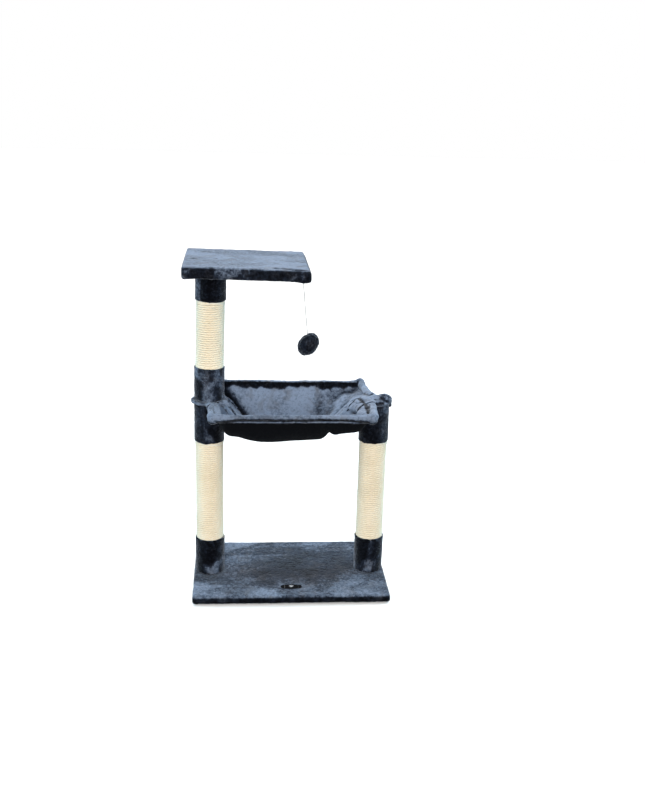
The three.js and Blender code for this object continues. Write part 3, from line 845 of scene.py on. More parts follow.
def baseNapAndShading(p, low, high):
    # brushed patches and streaks, with painted shade over the middle of the top that leaves the front and
    # back lighter, and painted light along the front
    x = (p[:, 0] - low.x) / (high.x - low.x)
    y = (p[:, 1] - low.y) / (high.y - low.y)
    sweepMark = napPatches(p * np.array([1, 1.5, 1]), 75 * mm, 8, -0.12, 0.16)
    streak = 0.10 * roughNoise(p * np.array([0.35, 1.6, 1]), 20 * mm, 12, 2)
    # painted shade over the middle of the top
    middle = np.exp(-(((x - 0.5) / 0.33) ** 2 + ((y - 0.47) / 0.30) ** 2) ** 1.3)
    # painted light on the front strip of the top
    front = 0.16 * smoothStep(-y, -0.34, -0.12)
    tone = 0.56 - 0.44 * middle + front + sweepMark + streak
    # the top takes a lighter tone than the sides: painted light from above
    onTop = smoothStep(p[:, 2], high.z - 6 * mm, high.z - 2 * mm)
    # painted highlight along the upper edge of the sides
    rim = np.exp(-((p[:, 2] - (high.z - 4 * mm)) / (3 * mm)) ** 2)
    side = napBlotches(p, 20 * mm, 33, 0.38) + 0.15 * rim
    return tone * onTop + (1 - onTop) * side


def slackFold(x, y, low, high):
    # how far points lie behind the slack fold near the right front corner, and where along the edge it shows
    wander = perchLook["foldWander"] * np.sin((x - high[0]) / (17 * mm))
    start = high[0] - perchLook["foldLength"]
    return y - (low[1] + perchLook["foldPlace"] + wander), smoothStep(x, start, start + 15 * mm)


def makePerchCover():
    matrix = sectionFrame("left_upper")
    low, high = localBox("perch_cover", matrix)
    parts = roundedBox(low, high, perchLook["edge"], perchLook["step"])
    cover = mergedPiece("perchCover", parts)
    p, n = pointsOf(cover), normalsOf(cover)
    x, y, z = p[:, 0], p[:, 1], p[:, 2]
    top = smoothStep(z, high[2] - 4 * mm, high[2] - 1 * mm)
    front = smoothStep(-n[:, 1], 0.3, 0.9)
    # plush hangs a little loose at the two front corners and along the lower edge
    right = np.exp(-((x - high[0] + 12 * mm) / (22 * mm)) ** 2)
    left = np.exp(-((x - low[0] - 6 * mm) / (14 * mm)) ** 2)
    lower = smoothStep(high[2] - z, 12 * mm, 26 * mm)
    droop = perchLook["sag"] * right + perchLook["leftSag"] * left
    p[:, 2] -= lower * smoothStep(-y, 60 * mm, 120 * mm) * droop
    p[:, 1] -= front * (1.5 * mm * right + 1.2 * mm * left)
    p = p + n * (front * perchLook["frontWave"] * roughNoise(p, 28 * mm, 5, 2))[:, None]
    p[:, 0] += perchLook["sideFlare"] * smoothStep(n[:, 0], 0.3, 0.9) * smoothStep(high[2] - z, 0, 12 * mm)
    p[:, 2] += perchLook["backRise"] * top * smoothStep(y, 60 * mm, 110 * mm)
    p[:, 2] -= perchLook["lowerSag"] * lower * smoothStep(-y, 60 * mm, 120 * mm)
    # pucker over the bolt's slit and the stitched dimple beside it
    for spot, wide, deep in perchLook["spots"]:
        far = np.hypot((x - spot[0]) / wide[0], (y - spot[1]) / wide[1])
        p[:, 2] -= top * deep * np.exp(-far ** 2)
    # slack fold along the top edge near the right front corner
    fold, reach = slackFold(x, y, low, high)
    reach = reach * (1 - smoothStep(x, high[0] - 22 * mm, high[0] - 8 * mm))
    p[:, 2] -= top * reach * perchLook["foldDepth"] * np.exp(-(fold / (3.0 * mm)) ** 2)
    p[:, 2] += top * reach * perchLook["foldRidge"] * np.exp(-((fold - 7 * mm) / (4.5 * mm)) ** 2)
    setPoints(cover, p)
    ruffle(cover, perchLook["clump"], 5.5 * mm, 0.3 * mm, 41, 0.6 * mm, 50 * mm)
    p = pointsOf(cover)
    # the top takes a much lighter tone than the sides: painted light from above
    topSide = smoothStep(p[:, 2], high[2] - 5 * mm, high[2] - 1 * mm)
    patches = napPatches(p * np.array([0.6, 1.2, 1]), 45 * mm, 14, -0.10, 0.12)
    side = 0.10 + napBlotches(p, 20 * mm, 19, 0.55)
    fold, reach = slackFold(p[:, 0], p[:, 1], low, high)
    # painted shade along the slack fold
    tone = 0.80 + patches - 0.65 * reach * np.exp(-(fold / (2.6 * mm)) ** 2)
    # painted shade in the dimple and in the puckers over the slit
    for spot, wide, deep in perchLook["spots"]:
        far = np.hypot((p[:, 0] - spot[0]) / wide[0], (p[:, 1] - spot[1]) / wide[1])
        tone = tone - 0.75 * np.exp(-far ** 2) * min(1, deep / (2.6 * mm))
    setNapAndShading(cover, tone * topSide + side * (1 - topSide))
    setPoints(cover, placed(p, matrix))
    settle(cover, "tree", "plush", "perch_cover")


makeBaseCover()
makePerchCover()
print("covers made")


# label

labelLook = {
    "lift": 0.9 * mm, "endShape": 0.55, "sideShape": 0.75, "stitches": 7, "thread": 0.22 * mm,
    "pad": (3.2 * mm, 2.6 * mm, 0.35 * mm), "toe": (1.5 * mm, 1.7 * mm, 0.3 * mm), "toes": 4,
    # share of the outline and height of each ring, with a pressed line inside the rim
    "rings": ((0.0, 0.9), (0.5, 0.95), (0.88, 1.0), (0.93, 0.8), (0.97, 1.0), (1.0, 0.5), (1.0, -0.6)),
}


def makeLabel():
    low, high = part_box("base_label")
    middle = (low + high) / 2
    half = (high - low) / 2
    outline = []
    for turn in np.linspace(0, 2 * math.pi, 72, endpoint=False):
        c, s = math.cos(turn), math.sin(turn)
        x = half.x * math.copysign(abs(c) ** labelLook["endShape"], c)
        y = half.y * math.copysign(abs(s) ** labelLook["sideShape"], s)
        outline.append((x, y))
    outline = np.array(outline)
    rings = []
    for scale, height in labelLook["rings"]:
        z = middle.z + height * half.z + labelLook["lift"]
        rings.append(np.column_stack([outline * scale + [middle.x, middle.y], np.full(len(outline), z)]))
    points = np.vstack(rings)
    faces = gridFaces(len(rings), len(outline), wrapCols=True)
    label = mergedPiece("baseLabel", [(points, faces.tolist())], 0.01 * mm)
    bm = bmesh.new()
    bm.from_mesh(label.data)
    bmesh.ops.holes_fill(bm, edges=bm.edges, sides=0)
    bmesh.ops.recalc_face_normals(bm, faces=bm.faces)
    bm.to_mesh(label.data)
    bm.free()
    settle(label, "tree", "label", "base_label")
    # paw, and a row of stitches near each end
    top = middle.z + half.z + labelLook["lift"] + 0.1 * mm
    pads = [ball((middle.x, middle.y - 1.2 * mm, top), labelLook["pad"], steps=10)]
    for k in range(labelLook["toes"]):
        turn = math.radians(150 - 40 * k)
        place = (middle.x + 5.0 * mm * math.cos(turn), middle.y + 0.2 * mm + 4.6 * mm * math.sin(turn), top)
        pads.append(ball(place, labelLook["toe"], steps=8))
    for side in (-1, 1):
        x = middle.x + side * (half.x - 9.5 * mm)
        for k in range(labelLook["stitches"]):
            y = middle.y + (k - (labelLook["stitches"] - 1) / 2) * 2.2 * mm
            ends = [(x, y, top - 0.4 * mm), (x, y + 1.5 * mm, top - 0.4 * mm)]
            line = [ends[0], (x, y + 0.4 * mm, top + 0.1 * mm), ends[1]]
            pads.append(sweep(line, labelLook["thread"], 6))
    paw = joined("labelPaw", pads)
    faceOut(paw)
    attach(paw, "tree")
    paint(paw, "thread")


makeLabel()
print("label made")


# hammock

hammockLook = {
    "insetLeft": 6.5 * mm, "insetRight": 17 * mm, "rodRadius": 2.6 * mm, "bend": 15 * mm,
    "cut": (0.50, 0.44), "cells": (112, 96), "steps": 42, "thickness": 3.4 * mm,
    "postGap": 4.4 * mm, "roll": 6.8 * mm, "armRoll": 9.2 * mm, "corner": 3.6 * mm,
    "seamDrop": 11.5 * mm, "seamRoll": 3.0 * mm, "gather": 38 * mm, "gatherDepth": 2.4 * mm,
    "fallDepth": 0.088, "reach": 0.197, "low": 8 * mm, "lobe": 3 * mm, "ends": 13 * mm, "notch": 13 * mm,
    "shelfDrop": 8 * mm, "shelfSlope": 0.35, "flaps": (9, 17),
    # Blender's cloth settings
    "fall": {
        "quality": 6, "mass": 0.25, "tension_stiffness": 20, "compression_stiffness": 14,
        "shear_stiffness": 5, "bending_stiffness": 0.6, "air_damping": 2.5, "time_scale": 0.8,
    },
}


def hammockPlan():
    # the frame's places, from the CAD rods and posts
    front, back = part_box("hammock_front_frame"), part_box("hammock_back_frame")
    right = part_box("right_head_sleeve")
    return {
        "level": (front[0].z + front[1].z) / 2,
        "rail": back[1].y - hammockLook["rodRadius"],
        "postX": (right[0].x + right[1].x) / 2,
        "postRadius": (right[1].x - right[0].x) / 2,
        "postTop": right[1].z,
        "upperBottom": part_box("left_upper_foot_sleeve")[0].z,
    }


plan = hammockPlan()


def armX(side, y):
    inset = hammockLook["insetLeft"] if side < 0 else hammockLook["insetRight"]
    return side * (plan["postX"] - inset * abs(y) / plan["rail"])


def clothEdge(side, y):
    arc = plan["postRadius"] + hammockLook["postGap"]
    across = math.sqrt(arc ** 2 - y ** 2) if abs(y) < arc else 0
    return side * min(abs(armX(side, y)), plan["postX"] - across)


def rimHeight(side, y):
    # the cloth's edge lies over the rods, dips into the left joint and climbs onto the right post
    near = math.exp(-(y / (34 * mm)) ** 2)
    return plan["level"] + 4.5 * mm + near * (-5.5 * mm if side < 0 else 2.0 * mm)


def bowlPoint(s, t, depth):
    # more cloth is drawn together near the two posts than along the arms
    t = math.copysign(abs(t) ** (1 + 0.35 * abs(s) ** 3), t)
    y = t * (plan["rail"] - 2.5 * mm)
    left, right = clothEdge(-1, y), clothEdge(1, y)
    share = (s + 1) / 2
    x = left + (right - left) * share
    rim = rimHeight(-1, y) * (1 - share) + rimHeight(1, y) * share
    fall = (1 - abs(s) ** 5) * (1 - abs(t) ** 3.5)
    return x, y, rim - depth * fall


def postStops():
    # upright cylinders that the falling cloth can't enter
    stops = []
    for side in (-1, 1):
        bm = bmesh.new()
        bmesh.ops.create_cone(bm, cap_ends=True, segments=48, radius1=plan["postRadius"] + 1 * mm,
                              radius2=plan["postRadius"] + 1 * mm, depth=0.25)
        mesh = bpy.data.meshes.new("stop")
        bm.to_mesh(mesh)
        bm.free()
        stop = bpy.data.objects.new("stop", mesh)
        stop.location = (side * plan["postX"], 0, plan["postTop"] - 0.125)
        scene.collection.objects.link(stop)
        stop.modifiers.new("collide", "COLLISION")
        stop.collision.thickness_outer = 2 * mm
        stops.append(stop)
    return stops


def gathers(p, s, t):
    # small waves along the stitched edges, where the spare width is taken up
    wave = hammockLook["gather"]
    phase = 2.2 * softNoise(p, 90 * mm, 6)
    alongRail = np.sin(2 * math.pi * p[:, 0] / wave + phase) * np.exp(-(1 - np.abs(t)) / 0.16)
    alongArm = np.sin(2 * math.pi * p[:, 1] / (0.7 * wave) + phase) * np.exp(-(1 - np.abs(s)) / 0.14)
    inner = (np.abs(s) < 1) & (np.abs(t) < 1)
    return hammockLook["gatherDepth"] * (alongRail + alongArm) * inner


def fallenCloth():
    columns, rows = hammockLook["cells"]
    s, t = np.meshgrid(np.linspace(-1, 1, columns + 1), np.linspace(-1, 1, rows + 1))
    s, t = s.ravel(), t.ravel()
    start = np.array([bowlPoint(a, b, hammockLook["fallDepth"]) for a, b in zip(s, t)])
    start[:, 2] += gathers(start, s, t) + 1.0 * mm * softNoise(start, 30 * mm, 4) * (np.abs(s * t) < 1)
    cloth = makePiece("hammockCloth", start, gridFaces(rows + 1, columns + 1))
    wide, long = hammockLook["cut"]
    flat = np.stack([s * wide / 2, t * long / 2, np.full(s.size, plan["level"])], axis=1)
    edge = np.flatnonzero((np.abs(s) == 1) | (np.abs(t) == 1))
    held = cloth.vertex_groups.new(name="held")
    held.add(edge.tolist(), 1.0, "REPLACE")
    cloth.shape_key_add(name="Basis")
    cut = cloth.shape_key_add(name="cut")
    cut.data.foreach_set("co", flat.astype(np.float32).ravel())
    cut.value = 0
    stops = postStops()
    fall = cloth.modifiers.new("fall", "CLOTH")
    fall.settings.rest_shape_key = cut
    fall.settings.vertex_group_mass = "held"
    for key, value in hammockLook["fall"].items():
        setattr(fall.settings, key, value)
    fall.collision_settings.use_collision = True
    fall.collision_settings.distance_min = 2 * mm
    fall.collision_settings.use_self_collision = False
    fall.point_cache.frame_start = 1
    fall.point_cache.frame_end = hammockLook["steps"]
    for number in range(1, hammockLook["steps"] + 1):
        scene.frame_set(number)
    graph = bpy.context.evaluated_depsgraph_get()
    done = pointsFrom(cloth.evaluated_get(graph).to_mesh())
    cloth.evaluated_get(graph).to_mesh_clear()
    cloth.modifiers.clear()
    cloth.shape_key_clear()
    for stop in stops:
        bpy.data.objects.remove(stop)
    scene.frame_set(1)
    setPoints(cloth, done)
    return cloth


def hollows(piece, rounds):
    # how far each point lies under the average of its surroundings, in metres
    p = pointsOf(piece)
    edges = np.zeros(len(piece.data.edges) * 2, np.int32)
    piece.data.edges.foreach_get("vertices", edges)
    a, b = edges[0::2], edges[1::2]
    count = np.bincount(edges, minlength=len(p)).astype(float)
    smooth = p.copy()
    for _ in range(rounds):
        total = np.zeros_like(smooth)
        for k in range(3):
            total[:, k] = np.bincount(a, smooth[b, k], len(p)) + np.bincount(b, smooth[a, k], len(p))
        smooth = 0.5 * smooth + 0.5 * total / np.maximum(count, 1)[:, None]
    return ((smooth - p) * normalsOf(piece)).sum(1)


def along(p, line):
    # distance from each point to a plan line of (x, y) and how far along it the nearest point lies
    best, share = np.full(len(p), 1.0), np.zeros(len(p))
    total = len(line) - 1
    for k, (a, b) in enumerate(zip(np.array(line[:-1]) * mm, np.array(line[1:]) * mm)):
        way = b - a
        t = np.clip(((p[:, :2] - a) @ way) / (way @ way), 0, 1)
        gap = np.linalg.norm(p[:, :2] - a - t[:, None] * way, axis=1)
        share = np.where(gap < best, (k + t) / total, share)
        best = np.minimum(gap, best)
    return best, share


folds = [
    # plan line, half width, and rise at its first and last ends, all in mm
    {"line": [(-188, 136), (-156, 118), (-128, 98), (-108, 70), (-100, 30)], "wide": 11, "rise": (-15, -6)},
    {"line": [(-196, 112), (-170, 86), (-144, 64), (-124, 34), (-116, -10)], "wide": 12, "rise": (7, 6)},
    {"line": [(-92, 128), (-78, 80), (-70, 30)], "wide": 17, "rise": (6, 4)},
    {"line": [(-28, 130), (-34, 85), (-46, 40)], "wide": 16, "rise": (-5, -3)},
    {"line": [(34, 128), (20, 80), (2, 34)], "wide": 18, "rise": (6, 3)},
    {"line": [(88, 130), (70, 84), (48, 34)], "wide": 15, "rise": (-6, -3)},
    {"line": [(142, 112), (118, 66), (84, 20)], "wide": 14, "rise": (6, 4)},
    {"line": [(166, 62), (132, 44), (96, 12)], "wide": 9, "rise": (6, 3)},
    {"line": [(158, 2), (124, 0), (88, -10)], "wide": 8, "rise": (7, 3)},
    {"line": [(158, -44), (126, -40), (92, -40)], "wide": 9, "rise": (7, 3)},
    {"line": [(164, -84), (136, -72), (104, -70)], "wide": 9, "rise": (7, 3)},
    {"line": [(181, -15), (184, -60), (188, -118)], "wide": 5, "rise": (-12, -12)},
    {"line": [(150, 28), (170, 36), (181, -15)], "wide": 5, "rise": (-6, -12)},
    {"line": [(156, -24), (170, -34), (182, -52)], "wide": 4.5, "rise": (-5, -12)},
    {"line": [(150, 62), (120, 52), (104, 40)], "wide": 6, "rise": (-6, -2)},
    {"line": [(-22, 52), (-22, 53)], "wide": 5, "rise": (3, 3)},
]


creases = [
    # plan lines of the sharp creases beside the right post, and their half widths, in mm
    {"line": [(152, 22), (167, 14), (179, -40), (181, -84), (178, -130)], "wide": 3.0},
    {"line": [(148, -60), (165, -52), (179, -44)], "wide": 2.8},
    {"line": [(179, -42), (204, -40), (226, -30)], "wide": 2.6},
    {"line": [(140, -6), (154, 4), (168, 12)], "wide": 2.2},
]


def creased(p):
    # 0 away from the creases, 1 in them
    return np.max([np.exp(-(along(p, c["line"])[0] / (c["wide"] * mm)) ** 2) for c in creases], axis=0)


def sagged(p):
    # the bowl hangs lowest left of its middle, with a smaller lobe towards the right post
    x, y = p[:, 0], p[:, 1]
    inside = smoothStep(plan["rail"] - np.abs(y), 2 * mm, 30 * mm)
    inside = inside * smoothStep(hammockLook["reach"] - np.abs(x), 0, 30 * mm)
    front = np.exp(-((y + 80 * mm) / (60 * mm)) ** 2)
    low = hammockLook["low"] * np.exp(-((x + 60 * mm) / (75 * mm)) ** 2)
    lobe = hammockLook["lobe"] * np.exp(-((x - 135 * mm) / (38 * mm)) ** 2)
    ends = hammockLook["ends"] * np.exp(-((np.abs(x) - 165 * mm) / (22 * mm)) ** 2)
    notchLine = x - 84 * mm - 0.25 * (y + 85 * mm)
    notch = hammockLook["notch"] * np.exp(-(notchLine / (12 * mm)) ** 2)
    rise = front * (notch - low - lobe - ends)
    for fold in folds:
        gap, share = along(p, fold["line"])
        start, end = fold["rise"]
        height = (start + (end - start) * share) * mm
        rise = rise + height * np.exp(-(gap / (fold["wide"] * mm)) ** 2)
    p = p.copy()
    # bunched cloth stands high beside the right post
    shelf = plan["level"] - hammockLook["shelfDrop"] - hammockLook["shelfSlope"] * (185 * mm - x)
    share = smoothStep(x, 62 * mm, 168 * mm) * smoothStep(y, -104 * mm, -76 * mm)
    share = share * (1 - smoothStep(y, 95 * mm, 138 * mm))
    p[:, 2] += 0.9 * share * (shelf - p[:, 2]) + inside * rise
    return p


def makeHammockCloth():
    cloth = fallenCloth()
    p = sagged(pointsOf(cloth))
    setPoints(cloth, p)
    print("hammock cloth fell to", round(float(p[:, 2].min()), 4))
    thick = cloth.modifiers.new("thick", "SOLIDIFY")
    thick.thickness = hammockLook["thickness"]
    thick.offset = 0
    fine = cloth.modifiers.new("fine", "SUBSURF")
    fine.levels = 1
    fine.render_levels = 1
    applied(cloth)
    faceOut(cloth)
    valley = hollows(cloth, 160)
    ruffle(cloth, 0.3 * mm, 6 * mm, 0.2 * mm, 51)
    p = pointsOf(cloth)
    # painted shade in the hollows of the cloth
    tone = 0.97 + napPatches(p, 55 * mm, 23, -0.12, 0.08) - np.clip(valley / (7 * mm), -0.15, 0.8)
    # painted shadow in a scalloped band under the back roll
    scallop = np.abs(np.sin(math.pi * p[:, 0] / hammockLook["gather"] + 1.6 * softNoise(p, 60 * mm, 6)))
    scallop = 8 * mm + 3 * mm * scallop + 3 * mm * roughNoise(p, 22 * mm, 9, 2)
    tone = tone * smoothStep(plan["rail"] - p[:, 1], scallop, scallop + 5 * mm)
    # painted shade all along the deep fold from the back left corner
    gap, share = along(p, folds[0]["line"])
    tone = tone - 0.62 * np.exp(-(gap / (8 * mm)) ** 2) * (1 - 0.6 * share)
    tone = tone - 0.10 * smoothStep(p[:, 0], 60 * mm, 120 * mm)
    # painted shade in the creases beside the right post
    tone = tone - creased(p)
    # tuft caught in the weave at the middle of the bowl
    tuft = np.exp(-(along(p, folds[-1]["line"])[0] / (4 * mm)) ** 2)
    setNapAndShading(cloth, tone - 0.7 * tuft)
    settle(cloth, "tree", "plush", "hammock_cloth")
    # faces turned down or to the side take a near-black cloth without sheen: painted shade under the hammock
    cloth.data.materials.append(materials["paintedShadeCloth"])
    for face in cloth.data.polygons:
        face.material_index = 1 if face.normal.z < 0.02 else 0
    return cloth


def bent(chain, radius, steps=8):
    # a chain of points with each inner corner rounded
    chain = [Vector(c) for c in chain]
    out = [chain[0]]
    for a, b, c in zip(chain, chain[1:], chain[2:]):
        before = b + (a - b).normalized() * radius
        after = b + (c - b).normalized() * radius
        for k in range(steps + 1):
            t = k / steps
            out.append(before.lerp(b, t).lerp(b.lerp(after, t), t))
    out.append(chain[-1])
    return out


def foldLine(start, over, end, count=18):
    a, b, c = Vector(start), Vector(over), Vector(end)
    return [tuple(a.lerp(b, t).lerp(b.lerp(c, t), t)) for t in np.linspace(0, 1, count)]


def makeHem():
    parts = []
    level, rail = plan["level"], plan["rail"]
    stop = plan["postRadius"] - 6 * mm
    for half in (-1, 1):
        y = half * rail
        chain = [(armX(-1, stop), half * stop, level), (armX(-1, y), y, level),
                 (armX(1, y), y, level), (armX(1, stop), half * stop, level)]
        line = evenly(bent(chain, hammockLook["bend"]), 4 * mm)
        line[:, 2] += 1.6 * mm * roughNoise(line, 70 * mm, 3 + half, 2)
        onArm = smoothStep(rail - np.abs(line[:, 1]), 2 * mm, 25 * mm)
        corner = np.minimum(np.hypot(line[:, 0] - armX(-1, y), line[:, 1] - y),
                            np.hypot(line[:, 0] - armX(1, y), line[:, 1] - y))
        # fuller on the arms and at the corners, where the cloth turns over itself
        radius = hammockLook["roll"] * (1 - onArm) + hammockLook["armRoll"] * onArm
        radius = radius * (1 + 0.14 * roughNoise(line, 26 * mm, 7 + half, 2))
        radius = radius + hammockLook["corner"] * np.exp(-(corner / (24 * mm)) ** 2)
        radius = radius * (1 - 0.45 * (1 - smoothStep(np.abs(line[:, 1]), 36 * mm, 66 * mm)))
        line[:, 2] += 1.5 * mm * (1 - onArm)
        line[:, 0] -= np.sign(line[:, 0]) * 4 * mm * onArm
        parts.append(sweep(line, radius, 14))
        # stitched edge of the hem, a thin ridge under the roll
        straight = line[onArm < 0.02].copy()
        straight[:, 2] -= hammockLook["seamDrop"]
        straight[:, 1] += half * 1.0 * mm
        parts.append(sweep(straight, hammockLook["seamRoll"], 8))
        # cloth turned over the roll's ends hangs a little below it
        for side in (-1, 1):
            middle = (armX(side, y) - side * 7 * mm, y + half * 0.5 * mm, level - 3 * mm)
            turn = Matrix.Rotation(side * 0.4, 4, "Y")
            parts.append(ball(middle, (14 * mm, 10 * mm, 12.5 * mm), turn, 12))
            tail = evenly([(armX(side, y) - side * 8 * mm, y, level - 1 * mm),
                           (armX(side, y) - side * 66 * mm, y, level + 1 * mm)], 3 * mm)
            parts.append(sweep(tail, np.linspace(11, 6, len(tail)) * mm, 12))
    # wide flap of cloth over the left front arm
    for shift in hammockLook["flaps"]:
        start = (armX(-1, 40 * mm) + shift * mm, -42 * mm, level - 1 * mm)
        over = (armX(-1, 90 * mm) + (shift + 3) * mm, -90 * mm, level + 2 * mm)
        end = (armX(-1, 135 * mm) + (shift + 6) * mm, -136 * mm, level + 1 * mm)
        parts.append(sweep(foldLine(start, over, end), (10.5 - 0.25 * shift) * mm, 12))
    # back right corner stands up in a lump
    middle = (armX(1, rail) - 4 * mm, rail + 1 * mm, level + 6 * mm)
    parts.append(ball(middle, (12 * mm, 10 * mm, 9 * mm), steps=12))
    hem = joined("hammockHem", parts)
    faceOut(hem)
    remeshed(hem, 2.2 * mm, 2)
    valley = hollows(hem, 12)
    ruffle(hem, 0.6 * mm, 7 * mm, 0.3 * mm, 61, 0.9 * mm, 18 * mm)
    p, n = pointsOf(hem), normalsOf(hem)
    # faces turned downwards are kept near-black: painted shade on the undersides of the rolls
    top = smoothStep(n[:, 2], -0.75, 0.1)
    tone = 0.04 + top * (0.92 + napPatches(p, 55 * mm, 27, -0.20, 0.12))
    # painted shade on the back roll where it faces the bowl, leaving it light only along its top
    back = smoothStep(p[:, 1], rail - 14 * mm, rail - 9 * mm) * (1 - smoothStep(n[:, 2], 0.45, 0.8))
    back = back * (n[:, 1] < 0.3)
    # painted shade in the hollows and creases
    tone = tone - np.clip(valley / (0.8 * mm), 0, 0.9) - 1.2 * creased(p) * top
    setNapAndShading(hem, tone * (1 - 0.95 * back))
    return settle(hem, "tree", "plush")


def makeLeftTab():
    # folded cloth clamped in the joint, showing as a band round the post
    x, radius = -plan["postX"], plan["postRadius"]
    low, high = plan["postTop"], plan["upperBottom"]
    middle = (low + high) / 2
    parts = []
    turns = np.linspace(math.radians(60), math.radians(300), 70)
    share = (turns - turns[0]) / (turns[-1] - turns[0])
    out = radius + 0.5 * mm + 3.0 * mm * np.sin(share * math.pi)
    line = np.stack([x + out * np.cos(turns), out * np.sin(turns), np.full(len(turns), middle)], axis=1)
    line[:, 2] += 1.5 * mm * roughNoise(line, 22 * mm, 71, 2)
    thick = (high - low) * 0.40 * (1 + 0.25 * roughNoise(line, 17 * mm, 74, 2))
    parts.append(sweep(line, thick, 12))
    parts.append(ball((x, 0, middle), (radius + 1 * mm, radius + 1 * mm, (high - low) * 0.42)))
    parts.append(ball((x + 8 * mm, 0, middle - 1 * mm), (radius + 4 * mm, radius + 2 * mm, 5 * mm)))
    # strips of the side hem that run into the joint in front and behind
    for half in (-1, 1):
        near = (x - 2 * mm, half * (radius - 6 * mm), middle)
        over = (x + 3 * mm, half * (radius + 12 * mm), middle + 3 * mm)
        end = (armX(-1, radius + 34 * mm), half * (radius + 34 * mm), plan["level"] + 1 * mm)
        parts.append(sweep(foldLine(near, over, end), 8.5 * mm, 12))
        for k in range(3):
            near = (x + (12 + 11 * k) * mm, half * (radius - (4 + 9 * k) * mm), middle + 0.5 * mm)
            over = (x + (22 + 13 * k) * mm, half * (radius + (6 - 10 * k) * mm), middle + 1 * mm)
            away = half * (radius + (30 - 16 * k) * mm)
            end = (x + (30 + 20 * k) * mm, away, middle - (14 + 10 * k) * mm)
            parts.append(sweep(foldLine(near, over, end), np.linspace(5, 2.2, 18) * mm, 10))
    tab = joined("hammockLeftTab", parts)
    faceOut(tab)
    remeshed(tab, 2.2 * mm, 2)
    valley = hollows(tab, 12)
    ruffle(tab, 0.6 * mm, 6 * mm, 0.3 * mm, 72, 0.6 * mm, 16 * mm)
    p = pointsOf(tab)
    # painted shade in the hollows between the folds
    setNapAndShading(tab, 0.78 + napPatches(p, 14 * mm, 73, -0.30, 0.20) - np.clip(valley / (1.5 * mm), 0, 0.6))
    settle(tab, "tree", "plush", "hammock_left_tab")


def makeRightTab():
    # cloth gathered over the bolt and bunched into a knob past the post
    x, top, radius = plan["postX"], plan["postTop"], plan["postRadius"]
    slope = Matrix.Rotation(-0.34, 4, "Y")
    parts = [
        ball((x, 0, top + 3 * mm), (radius + 2 * mm, radius + 2 * mm, 10 * mm)),
        ball((x - 9 * mm, 0, top + 3 * mm), (radius + 5 * mm, radius + 3 * mm, 9 * mm)),
        ball((x - 2 * mm, 0, top + 8 * mm), (36 * mm, 32 * mm, 9 * mm)),
        ball((x - 30 * mm, 0, plan["level"] - 7 * mm), (40 * mm, 52 * mm, 12 * mm), slope),
        ball((x - 28 * mm, -40 * mm, plan["level"] - 5 * mm), (26 * mm, 44 * mm, 10 * mm), slope),
        ball((x - 32 * mm, -78 * mm, plan["level"] - 8 * mm), (24 * mm, 38 * mm, 9 * mm), slope),
        ball((x + 2 * mm, -3 * mm, top + 11 * mm), (19 * mm, 19 * mm, 9 * mm)),
        ball((x + 23 * mm, 0, top + 4 * mm), (20 * mm, 21 * mm, 18 * mm)),
    ]
    # folds that fan out from the bolt into the bowl: start y, middle y, reach, radius
    fan = [(10, 4, 80, 4.6), (34, 16, 72, 4.2), (60, 28, 58, 4.6)]
    for y0, y1, reach, thick in fan:
        start = (x - reach * mm, y0 * mm, plan["level"] - 15 * mm - 0.35 * (reach - 24) * mm)
        over = (x - 42 * mm, y1 * mm, top + 7 * mm)
        end = (x + 2 * mm, y1 * 0.3 * mm, top + 15 * mm)
        parts.append(sweep(foldLine(start, over, end), np.linspace(2.0, thick, 18) * mm, 10))
    # the side's two halves climb from the arms onto the post
    for half in (-1, 1):
        climb = 3 * mm if half < 0 else 9 * mm
        start = (armX(1, 100 * mm) - 3 * mm, half * 100 * mm, plan["level"] + 1 * mm)
        over = (x - 15 * mm, half * 50 * mm, top + climb)
        end = (x - 6 * mm, half * 12 * mm, top + 4 * mm + climb)
        parts.append(sweep(foldLine(start, over, end), 9.5 * mm, 12))
    for k in range(7):
        turn = math.radians(-160 + 50 * k)
        start = (x + 12 * mm, 5 * mm * math.cos(turn), top + 16 * mm)
        over = (x + 30 * mm, 18 * mm * math.cos(turn), top + 6 * mm + 21 * mm * math.sin(turn))
        end = (x + 41 * mm, 9 * mm * math.cos(turn + 0.5), top + 2 * mm + 9 * mm * math.sin(turn + 0.5))
        parts.append(sweep(foldLine(start, over, end), 4.4 * mm, 10))
    tab = joined("hammockRightTab", parts)
    faceOut(tab)
    remeshed(tab, 2.2 * mm, 3)
    valley = hollows(tab, 14)
    ruffle(tab, 0.6 * mm, 5 * mm, 0.3 * mm, 81, 1.0 * mm, 13 * mm)
    p, n = pointsOf(tab), normalsOf(tab)
    upper = smoothStep(n[:, 2], 0, 0.4)
    p = p - n * (3.0 * mm * creased(p) * upper)[:, None]
    setPoints(tab, p)
    far = smoothStep(p[:, 0], x + 2 * mm, x + 22 * mm)
    tone = 0.86 - 0.50 * far + napPatches(p, 12 * mm, 82, -0.18, 0.16)
    # painted shade in the hollows and in the creases
    setNapAndShading(tab, tone - np.clip(valley / (1.1 * mm), -0.3, 0.75) - 1.4 * creased(p) * upper)
    settle(tab, "tree", "plush", "hammock_right_tab")


hammockCloth = makeHammockCloth()
hammockHem = makeHem()
makeLeftTab()
makeRightTab()
print("hammock made")


# hanging ball

ballLook = {"long": 30 * mm, "short": 22.5 * mm, "turn": 45}


